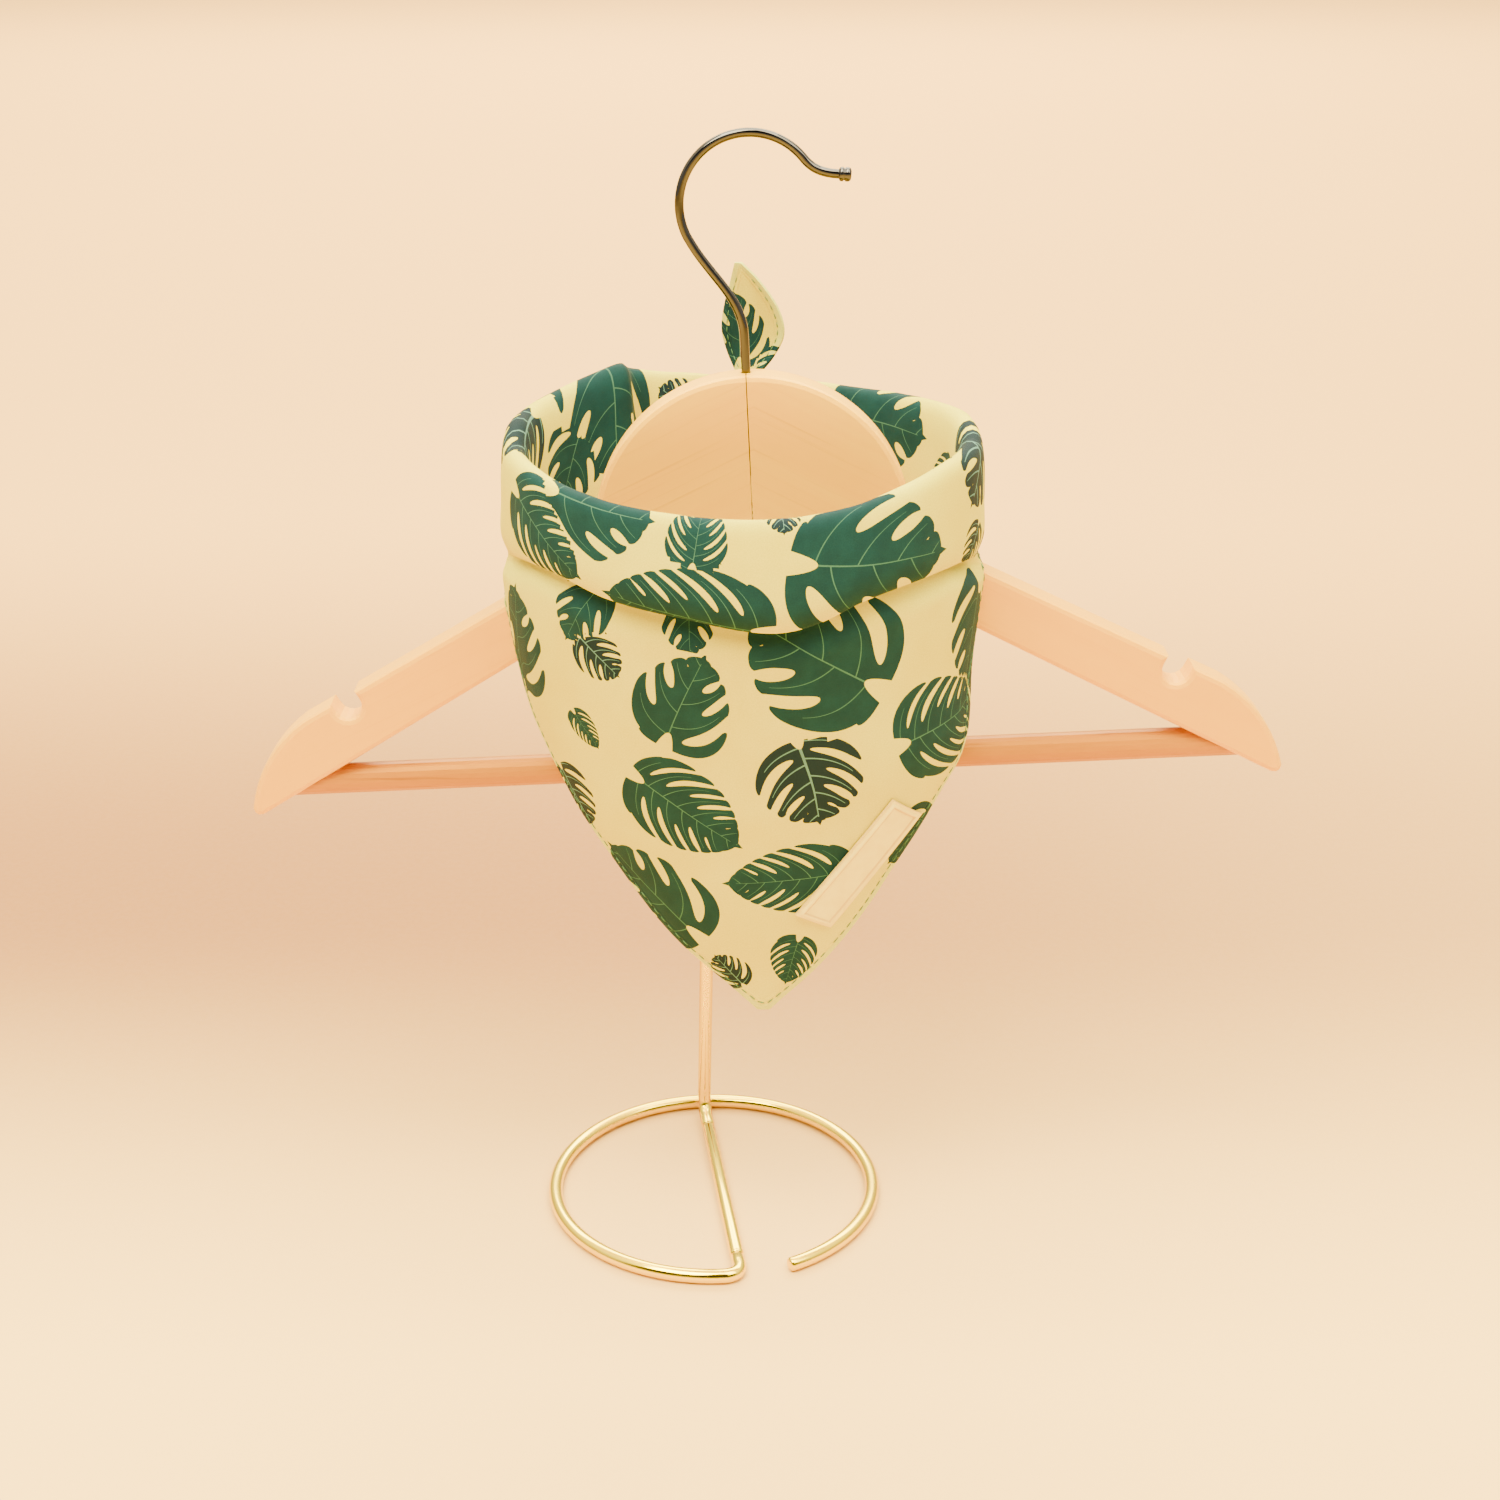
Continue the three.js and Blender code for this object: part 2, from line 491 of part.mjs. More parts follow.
// One half of the hanger, to the right for side 1 and to the left for side -1.
function hangerHalf(side) {
  const overlap = 4;
  const points = hangerOutline();
  const mirrored = points.slice(1, -1).map((p) => new THREE.Vector2(-p.x, p.y));
  const whole = new THREE.Shape([...points, ...mirrored.reverse()]);
  const board = new THREE.ExtrudeGeometry(whole, {
    depth: BOARD - 2 * BOARD_ROUND,
    bevelThickness: BOARD_ROUND,
    bevelSize: BOARD_ROUND,
    bevelOffset: -BOARD_ROUND,
    bevelSegments: 2,
    steps: 1,
  });
  board.rotateX(Math.PI / 2);
  board.translate(0, BOARD / 2 - BOARD_ROUND, 0);

  const reach = HALF_SPAN + overlap;
  const keep = new THREE.BoxGeometry(reach, BOARD * 2, 3 * HALF_SPAN);
  keep.translate(side * (reach / 2 + SEAM / 2), 0, 0);

  const shank = new THREE.CylinderGeometry(HOOK_WIRE / 2 + SEAM, HOOK_WIRE / 2 + SEAM, 60, 16);
  shank.rotateX(Math.PI / 2);
  shank.translate(0, 0, HEAD_RADIUS - HOOK_SINK - SEAM + 30);

  const socket = new THREE.CylinderGeometry(BAR.diameter / 2 + SEAM, BAR.diameter / 2 + SEAM, 2 * (BAR.end + SEAM), 20);
  socket.rotateZ(Math.PI / 2);
  socket.translate(0, 0, BAR.z);

  const solid = solidFrom(board).intersect(solidFrom(keep)).subtract(solidFrom(shank)).subtract(solidFrom(socket));
  return bodyFrom(solid);
}

function hangerBar() {
  const bar = new THREE.CylinderGeometry(BAR.diameter / 2, BAR.diameter / 2, 2 * BAR.end, 20);
  bar.rotateZ(Math.PI / 2);
  bar.translate(0, 0, BAR.z);
  return bar;
}

// Hook: shank, sweep to the left, round crook, and a turned-out end with a knob.
function hangerHook() {
  const [right, top] = [new THREE.Vector3(1, 0, 0), new THREE.Vector3(0, 0, 1)];
  const point = (x, z) => new THREE.Vector3(x, 0, z);
  const crook = arc(point(HOOK.x, HOOK.z), right, top, HOOK.radius, HOOK.from, HOOK.to, 22);
  const sweep = new THREE.CubicBezierCurve3(point(0, 58), point(-0.4, 69), point(-9.5, 75), crook[0]).getPoints(10);
  const end = new THREE.CubicBezierCurve3(
    crook[crook.length - 1],
    point(21.6, 102.6),
    point(24.6, 101.6),
    point(29.2, 101.2),
  ).getPoints(5);
  const path = [
    point(0, HEAD_RADIUS - HOOK_SINK),
    point(0, HEAD_RADIUS + 2),
    ...sweep,
    ...crook.slice(1),
    ...end.slice(1),
  ];
  const sideways = new THREE.Vector3(0, 1, 0);
  const rod = wire(path, HOOK_WIRE, 10, () => sideways);
  const radius = KNOB.diameter / 2;
  const knob = new THREE.LatheGeometry(
    [
      [0, 0],
      [radius * 0.6, 0],
      [radius, KNOB.length * 0.3],
      [radius, KNOB.length * 0.75],
      [radius * 0.6, KNOB.length],
      [0, KNOB.length],
    ].map(([r, along]) => new THREE.Vector2(r, along)),
    14,
  );
  knob.rotateZ(-96 * DEGREE);
  knob.translate(28.4, 0, 101.3);
  return bodyFrom(solidFrom(rod).add(solidFrom(knob)));
}

const WIRE_LIFT = (WIRE / 2) * Math.cos(Math.PI / WIRE_SIDES); // the wire rests on a flat of its section
const UP = new THREE.Vector3(0, 0, 1);
const RIGHT = new THREE.Vector3(1, 0, 0);
const AWAY = new THREE.Vector3(0, 1, 0);
const onFloor = (x, y) => new THREE.Vector3(x, y, WIRE_LIFT);

// Where the ring's wire has turned in, and the direction from there to the upright's foot.
const ringTurn = onFloor(RING_CENTRE.x + 8.6, RING_CENTRE.y - 46.4);
const uprightFoot = onFloor(POST_FOOT.x, POST_FOOT.y);
const barWay = uprightFoot.clone().sub(ringTurn).normalize();

// Open ring from its free end round to the front, where it bends sharply in towards the upright.
function standRing() {
  const centre = onFloor(RING_CENTRE.x, RING_CENTRE.y);
  const ring = arc(centre, RIGHT, AWAY, RING_RADIUS, RING_FREE_END, RING_BEND, 54);
  const last = ring[ring.length - 1];
  const corner = last.clone().add(new THREE.Vector3(5.6, 0.5, 0));
  const bend = new THREE.QuadraticBezierCurve3(last, corner, ringTurn).getPoints(7);
  return wire([...ring, ...bend.slice(1), ringTurn.clone().addScaledVector(barWay, 4)], WIRE, WIRE_SIDES, () => UP);
}

function standCrossbar() {
  const from = ringTurn.clone().addScaledVector(barWay, 4 + SEAM);
  const to = uprightFoot.clone().addScaledVector(barWay, -12);
  return wire([from, to], WIRE, WIRE_SIDES, () => UP);
}

// Upright with its foot bend, the arc forward at the top and the short cradle under the hanger's arch.
function standPost() {
  const side = new THREE.Vector3().crossVectors(barWay, UP).normalize();
  const start = uprightFoot.clone().addScaledVector(barWay, -12 + SEAM);
  const elbow = uprightFoot.clone().addScaledVector(barWay, -BEND);
  const rise = uprightFoot.clone().addScaledVector(UP, BEND);
  const foot = new THREE.QuadraticBezierCurve3(elbow, uprightFoot, rise).getPoints(6);
  const top = new THREE.Vector3(POST_FOOT.x + POST_LEAN, POST_FOOT.y, POST_TOP);
  const cradle = new THREE.Vector3(CRADLE.x, CRADLE.y, CRADLE.z);
  const crown = new THREE.CubicBezierCurve3(
    top,
    top.clone().add(new THREE.Vector3(0.4, 0, 19)),
    cradle.clone().add(new THREE.Vector3(-6, 50, 0)),
    cradle.clone().add(new THREE.Vector3(0, 20, 0)),
  ).getPoints(14);
  const lipCentre = cradle.clone().addScaledVector(UP, CRADLE.lip);
  const lip = arc(lipCentre, AWAY, UP, CRADLE.lip, -90, -180, 7);
  const end = lip[lip.length - 1].clone().addScaledVector(UP, CRADLE.rise);
  const path = [start, ...foot, ...crown, ...lip, end];
  return wire(path, WIRE, WIRE_SIDES, (i) => (i === 0 ? UP : side.clone().cross(wayAt(path, i))));
}

// Direction of a path at one of its points.
function wayAt(path, i) {
  const before = path[Math.max(i - 1, 0)];
  const after = path[Math.min(i + 1, path.length - 1)];
  return after.clone().sub(before).normalize();
}

const base = new THREE.Group();
function place(parent, name, body, finish) {
  const mesh = new THREE.Mesh(body, finishes[finish]);
  mesh.name = name;
  parent.add(mesh);
}

const hanger = new THREE.Group();
hanger.position.set(HANGER_X, 0, HEAD_Z);
hanger.rotation.y = -ROLL;
base.add(hanger);

place(base, 'bandana_front', clothWall(panelSurface, 36, 20), 'cloth');
place(base, 'bandana_collar', clothWall(collarSurface, 36, 28), 'cloth');
place(base, 'bandana_back_left', clothWall((u, v) => backSurface(BACK_LEFT, -1, 1 - u, v), 18, 22), 'cloth');
place(base, 'bandana_back_right', clothWall((u, v) => backSurface(BACK_RIGHT, 1, u, v), 18, 22), 'cloth');
place(base, 'bandana_knot', knotBody(), 'cloth');
place(base, 'bandana_tail_up', clothWall((u, v) => tailSurface(TAIL_UP, -1, u, v), 8, 12), 'cloth');
place(base, 'bandana_tail_down', clothWall((u, v) => tailSurface(TAIL_DOWN, 1, u, v), 8, 12), 'cloth');
place(base, 'bandana_label', clothWall(labelSurface, 3, 10, LABEL.thickness), 'label');
place(hanger, 'hanger_left', hangerHalf(-1), 'wood');
place(hanger, 'hanger_right', hangerHalf(1), 'wood');
place(hanger, 'hanger_bar', hangerBar(), 'bar');
place(hanger, 'hanger_hook', hangerHook(), 'plated');
place(base, 'stand_ring', standRing(), 'gold');
place(base, 'stand_crossbar', standCrossbar(), 'gold');
place(base, 'stand_post', standPost(), 'gold');

// The origin is the middle of the bounding box, on the floor.
base.updateMatrixWorld(true);
const bounds = new THREE.Box3().setFromObject(base, true);
const middle = bounds.getCenter(new THREE.Vector3());
const part = new THREE.Group();
part.name = 'bandana_on_hanger';
base.position.set(-middle.x, -middle.y, -bounds.min.z);
part.add(base);

export default part;
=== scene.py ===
"""Looks of a printed cotton bandana, knotted round a small wooden clothes hanger on a gold wire stand.

Shapes are worked out in millimetres, with the middle of the hanger's board at y = 0 and the floor at
z = 0, and moved to the frame's metres as each mesh is finished.
"""
import logging
import math
from collections.abc import Callable, Sequence
from dataclasses import dataclass, field
from enum import Enum

import bmesh
import bpy
from mathutils import Matrix, Vector, geometry, noise
from mathutils.bvhtree import BVHTree
from mathutils.kdtree import KDTree


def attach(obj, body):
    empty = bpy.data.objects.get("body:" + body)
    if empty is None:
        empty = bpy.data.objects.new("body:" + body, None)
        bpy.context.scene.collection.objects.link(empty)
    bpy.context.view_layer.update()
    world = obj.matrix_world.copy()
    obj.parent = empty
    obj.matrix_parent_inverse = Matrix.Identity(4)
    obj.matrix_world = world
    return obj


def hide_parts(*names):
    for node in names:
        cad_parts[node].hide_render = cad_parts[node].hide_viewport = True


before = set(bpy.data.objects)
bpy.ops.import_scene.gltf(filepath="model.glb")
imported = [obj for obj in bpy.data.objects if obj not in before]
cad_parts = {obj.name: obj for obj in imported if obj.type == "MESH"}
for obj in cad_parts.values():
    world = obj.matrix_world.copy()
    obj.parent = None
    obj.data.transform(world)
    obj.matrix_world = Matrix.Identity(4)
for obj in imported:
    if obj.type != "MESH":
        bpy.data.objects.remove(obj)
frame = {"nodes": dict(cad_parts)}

log = logging.getLogger("bandana")
Colour = tuple[float, float, float, float]
Row = dict[str, float]
Columns = list[list[bmesh.types.BMVert]]

TO_FRAME = Matrix.Scale(0.001, 4) @ Matrix.Translation((-4.745, -2.857, 0.0))
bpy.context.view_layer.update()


class Slot(Enum):
    """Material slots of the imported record."""

    CLOTH = "cloth"
    LABEL = "label"
    WOOD = "wood"
    BAR = "bar"
    PLATED = "plated"
    GOLD = "gold"


def rows(names: str, *values: Sequence[float]) -> list[Row]:
    """Rows of a table as dictionaries, from its column names and its values."""
    return [dict(zip(names.split(), line, strict=True)) for line in values]


def column(table: list[Row], name: str, at: float, key: str = "turn") -> float:
    """Value of a table's column on a smooth curve through its rows.

    Args:
        table: rows in the order of the key.
        name: the column to read.
        at: where to read it, as a value of the key.
        key: the column that orders the rows.

    Returns:
        The value there, held at the ends.
    """
    last = len(table) - 1
    i = 0
    while i < last - 1 and at > table[i + 1][key]:
        i += 1

    def row(k: int) -> Row:
        """A row, held at the ends of the table."""
        return table[min(max(k, 0), last)]

    def slope(k: int) -> float:
        """Slope of the curve at a row."""
        before, after = row(k - 1), row(k + 1)
        return (after[name] - before[name]) / (after[key] - before[key])

    width = row(i + 1)[key] - row(i)[key]
    t = min(max((at - row(i)[key]) / width, 0.0), 1.0)
    t2, t3 = t * t, t * t * t
    return (
        (2 * t3 - 3 * t2 + 1) * row(i)[name]
        + (t3 - 2 * t2 + t) * width * slope(i)
        + (3 * t2 - 2 * t3) * row(i + 1)[name]
        + (t3 - t2) * width * slope(i + 1)
    )


def lerp(a: float, b: float, share: float) -> float:
    """A value part of the way from a to b."""
    return a + (b - a) * share


def smoothstep(at: float, low: float, high: float) -> float:
    """Rises smoothly from 0 at low to 1 at high."""
    t = min(max((at - low) / (high - low), 0.0), 1.0)
    return t * t * (3 - 2 * t)


def spline(points: Sequence[Vector], steps: int = 10) -> list[Vector]:
    """Dense points on a smooth curve through a few points, evenly many in each stretch."""
    first, last = 2 * points[0] - points[1], 2 * points[-1] - points[-2]
    held = [first, *points, last]
    made = [points[0].copy()]
    for p0, p1, p2, p3 in zip(held, held[1:], held[2:], held[3:]):
        spans = [max((b - a).length ** 0.5, 1e-3) for a, b in ((p0, p1), (p1, p2), (p2, p3))]
        d0, d1, d2 = spans
        t1 = ((p1 - p0) / d0 - (p2 - p0) / (d0 + d1) + (p2 - p1) / d1) * d1
        t2 = ((p2 - p1) / d1 - (p3 - p1) / (d1 + d2) + (p3 - p2) / d2) * d1
        for k in range(1, steps + 1):
            t = k / steps
            c2, c3 = -3 * p1 + 3 * p2 - 2 * t1 - t2, 2 * p1 - 2 * p2 + t1 + t2
            made.append(p1 + t1 * t + c2 * t * t + c3 * t * t * t)
    return made


def resample(line: Sequence[Vector], count: int) -> list[Vector]:
    """The same line as evenly spaced points, count spaces long."""
    lengths = [0.0]
    for a, b in zip(line, line[1:]):
        lengths.append(lengths[-1] + (b - a).length)
    made, i = [], 0
    for k in range(count + 1):
        target = lengths[-1] * k / count
        while i < len(line) - 2 and lengths[i + 1] < target:
            i += 1
        span = max(lengths[i + 1] - lengths[i], 1e-9)
        made.append(line[i].lerp(line[i + 1], min(max((target - lengths[i]) / span, 0.0), 1.0)))
    return made


class Nodes:
    """Adds nodes to a tree and links them by short calls."""

    def __init__(self, tree: bpy.types.NodeTree) -> None:
        """Keeps the tree that the nodes go in."""
        self.tree = tree

    def put(self, socket: bpy.types.NodeSocket, value: object) -> None:
        """Links a socket to another, or sets its value."""
        if isinstance(value, bpy.types.NodeSocket):
            self.tree.links.new(value, socket)
        else:
            socket.default_value = value

    def add(self, kind: str, inputs: dict | None = None, **settings: object) -> bpy.types.Node:
        """Adds a node.

        Args:
            kind: the node's type, without the ShaderNode in front.
            inputs: values or sockets for its inputs, by name or number.
            **settings: the node's own settings.

        Returns:
            The node.
        """
        node = self.tree.nodes.new("ShaderNode" + kind)
        for name, value in settings.items():
            setattr(node, name, value)
        for name, value in (inputs or {}).items():
            self.put(node.inputs[name], value)
        return node

    def math(self, operation: str, *values: object) -> bpy.types.NodeSocket:
        """Result of a Math node on values or sockets."""
        return self.add("Math", dict(enumerate(values)), operation=operation).outputs[0]

    def mix(self, share: object, first: object, second: object) -> bpy.types.NodeSocket:
        """A colour between two colours."""
        return self.add("Mix", {0: share, 6: first, 7: second}, data_type="RGBA").outputs[2]

    def ramp(
        self, value: object, low: float, high: float, out_low: float = 0.0, out_high: float = 1.0
    ) -> bpy.types.NodeSocket:
        """A value moved smoothly from one range to another, held at both ends."""
        inputs = {"Value": value, "From Min": low, "From Max": high, "To Min": out_low, "To Max": out_high}
        return self.add("MapRange", inputs, interpolation_type="SMOOTHSTEP").outputs[0]

    def noise(
        self, vector: object, scale: float, detail: float = 2.0, rough: float = 0.5
    ) -> bpy.types.NodeSocket:
        """Soft noise, from 0 to 1."""
        inputs = {"Vector": vector, "Scale": scale, "Detail": detail, "Roughness": rough}
        return self.add("TexNoise", inputs).outputs[0]

    def scaled(self, vector: object, scale: Sequence[float]) -> bpy.types.NodeSocket:
        """A vector with each of its parts scaled."""
        return self.add("Mapping", {"Vector": vector, "Scale": scale}).outputs[0]

    def object_point(self) -> bpy.types.NodeSocket:
        """The point on the piece, in metres."""
        return self.add("TexCoord").outputs["Object"]

    def uv(self, name: str) -> bpy.types.NodeSocket:
        """A named UV map of the piece."""
        return self.add("UVMap", uv_map=name).outputs[0]


@dataclass(frozen=True)
class Finish:
    """A finish: its name and the fixed values of its shader."""

    name: str
    fixed: dict[str, object] = field(default_factory=dict)

    def made(self) -> bpy.types.Material:
        """The material, made once and shared by the pieces that have it."""
        known = bpy.data.materials.get(self.name)
        if known:
            return known
        material = bpy.data.materials.new(self.name)
        material.use_nodes = True
        nodes = Nodes(material.node_tree)
        shader = material.node_tree.nodes["Principled BSDF"]
        for name, value in self.fixed.items():
            shader.inputs[name].default_value = value
        self.dress(nodes, shader)
        return material

    def dress(self, nodes: Nodes, shader: bpy.types.Node) -> None:
        """Links the shader's colour, roughness and bump; each finish has its own way."""
        raise NotImplementedError

    @staticmethod
    def bump(nodes: Nodes, shader: bpy.types.Node, height: object, depth: float, strength: float) -> None:
        """Gives the shader a bump of a depth in metres from a height of 0 to 1."""
        node = nodes.add("Bump", {"Height": height, "Distance": depth, "Strength": strength})
        nodes.put(shader.inputs["Normal"], node.outputs[0])


class LeafKind(Enum):
    """Kinds of printed leaf."""

    SPLIT = 0
    SLOTTED = 1
    RAGGED = 2


@dataclass(frozen=True)
class LeafShape:
    """How a kind of leaf is drawn, in shares of its length.

    The leaf's midrib runs up its y axis from -0.5 to 0.5. Side veins bend towards the tip, more so near
    it, and slots run out between them. The stagger shifts the slots of one side against the other's, and
    the cusp is the leaf's pointed end.
    """

    half_width: float
    base_power: float
    tip_power: float
    slots: float
    lean: float
    slot_half: float
    slot_start: float
    slot_end: float
    ragged: float
    notch: float
    vein: float
    fan: float
    stagger: float = 0.37
    wander: float = 0.07
    lowest_slot: tuple[float, float] = (-0.46, -0.34)
    highest_slot: tuple[float, float] = (0.72, 0.88)
    cusp_start: float = 0.9
    cusp_tip: float = 1.05
    cusp_slope: float = 0.42
    notch_width: float = 0.032
    midrib_end: float = 0.94
    branch_end: float = 0.78

    def group(self, name: str) -> bpy.types.NodeTree:
        """A node group with the leaf's point as input, and its area and veins as outputs."""
        tree = bpy.data.node_groups.new(name, "ShaderNodeTree")
        tree.interface.new_socket("Point", in_out="INPUT", socket_type="NodeSocketVector")
        for output in ("Area", "Vein"):
            tree.interface.new_socket(output, in_out="OUTPUT", socket_type="NodeSocketFloat")
        n = Nodes(tree)
        start, end = tree.nodes.new("NodeGroupInput"), tree.nodes.new("NodeGroupOutput")
        point = n.add("SeparateXYZ", {0: start.outputs[0]})
        x, y = point.outputs[0], point.outputs[1]
        side, above = n.math("ABSOLUTE", x), n.math("ADD", y, 0.5)
        along = n.math("MINIMUM", n.math("MAXIMUM", above, 0.0), 1.0)
        peak = self.base_power / (self.base_power + self.tip_power)
        height = self.half_width / (peak**self.base_power * (1 - peak) ** self.tip_power)
        rise = n.math("POWER", along, self.base_power)
        fall = n.math("POWER", n.math("SUBTRACT", 1.0, along), self.tip_power)
        width = n.math("MULTIPLY", n.math("MULTIPLY", rise, fall), height)
        out = n.math("DIVIDE", side, n.math("MAXIMUM", width, 1e-4))

        steep = n.math("ADD", n.math("MULTIPLY", y, self.lean * self.fan), self.lean)
        bent = n.math("MULTIPLY", side, n.math("ADD", n.math("MULTIPLY", side, 1.5), 0.5))
        lifted = n.math("SUBTRACT", y, n.math("MULTIPLY", steep, bent))
        shifted = n.math("MULTIPLY", n.math("GREATER_THAN", x, 0.0), self.stagger)
        count = n.math("ADD", n.math("MULTIPLY", lifted, self.slots), n.math("ADD", shifted, 20.0))
        apart = n.math("ABSOLUTE", n.math("SUBTRACT", n.math("FRACT", count), 0.5))
        vary = n.math("SINE", n.math("MULTIPLY", n.math("FLOOR", count), 2.4))
        pitch = 1 / (self.slots * math.sqrt(1 + self.lean**2))
        from_slot = n.math("MULTIPLY", apart, pitch)
        first = n.math("ADD", n.math("MULTIPLY", vary, self.wander), self.slot_start)
        reach = n.math("MULTIPLY", n.math("SUBTRACT", out, first), n.math("SUBTRACT", self.slot_end, out))
        size = (self.slot_half / ((self.slot_end - self.slot_start) / 2)) ** 2
        from_tip = n.ramp(above, *self.highest_slot, size, 0.0)
        tapered = n.math("MULTIPLY", from_tip, n.ramp(lifted, *self.lowest_slot))
        wide = n.math("MULTIPLY", reach, tapered)
        slot = n.math("LESS_THAN", n.math("MULTIPLY", from_slot, from_slot), wide)
        dent = n.math("POWER", n.math("SUBTRACT", 1.0, n.math("MULTIPLY", apart, 2.0)), 3.0)
        edge = n.math("MULTIPLY", width, n.math("SUBTRACT", 1.0, n.math("MULTIPLY", dent, self.ragged)))
        cusp = n.math("MULTIPLY", n.math("SUBTRACT", self.cusp_tip, above), self.cusp_slope)
        cusp = n.math("MULTIPLY", cusp, n.math("GREATER_THAN", above, self.cusp_start))
        inside = n.math("LESS_THAN", side, n.math("MAXIMUM", edge, cusp))
        gap = n.math("MULTIPLY", n.math("SUBTRACT", self.notch, above), self.notch_width)
        cut = n.math("LESS_THAN", n.math("MULTIPLY", side, side), gap)
        whole = n.math("MULTIPLY", inside, n.math("SUBTRACT", 1.0, n.math("MAXIMUM", slot, cut)))

        thin = n.math("MULTIPLY", n.math("SUBTRACT", 1.35, along), self.vein)
        rib = n.math("LESS_THAN", side, thin)
        rib = n.math("MULTIPLY", rib, n.math("LESS_THAN", along, self.midrib_end))
        from_vein = n.math("MULTIPLY", n.math("SUBTRACT", 0.5, apart), pitch)
        fine = n.math("MULTIPLY", n.math("SUBTRACT", 1.2, out), self.vein * 0.6)
        branch = n.math("LESS_THAN", from_vein, fine)
        branch = n.math("MULTIPLY", branch, n.math("LESS_THAN", out, self.branch_end))
        n.put(end.inputs[0], whole)
        n.put(end.inputs[1], n.math("MULTIPLY", n.math("MAXIMUM", rib, branch), whole))
        return tree


LEAF_SHAPES = {
    LeafKind.SPLIT: LeafShape(
        half_width=0.45, base_power=0.36, tip_power=0.64, slots=3.9, lean=0.85, slot_half=0.050,
        slot_start=0.37, slot_end=1.16, ragged=0.26, notch=0.17, vein=0.0045, fan=1.6,
    ),
    LeafKind.SLOTTED: LeafShape(
        half_width=0.37, base_power=0.40, tip_power=0.66, slots=7.4, lean=0.95, slot_half=0.0185,
        slot_start=0.32, slot_end=1.05, ragged=0.08, notch=0.14, vein=0.0036, fan=1.3,
    ),
    LeafKind.RAGGED: LeafShape(
        half_width=0.47, base_power=0.36, tip_power=0.50, slots=4.8, lean=0.75, slot_half=0.052,
        slot_start=0.26, slot_end=2.20, ragged=0.50, notch=0.10, vein=0.0100, fan=1.3,
    ),
}


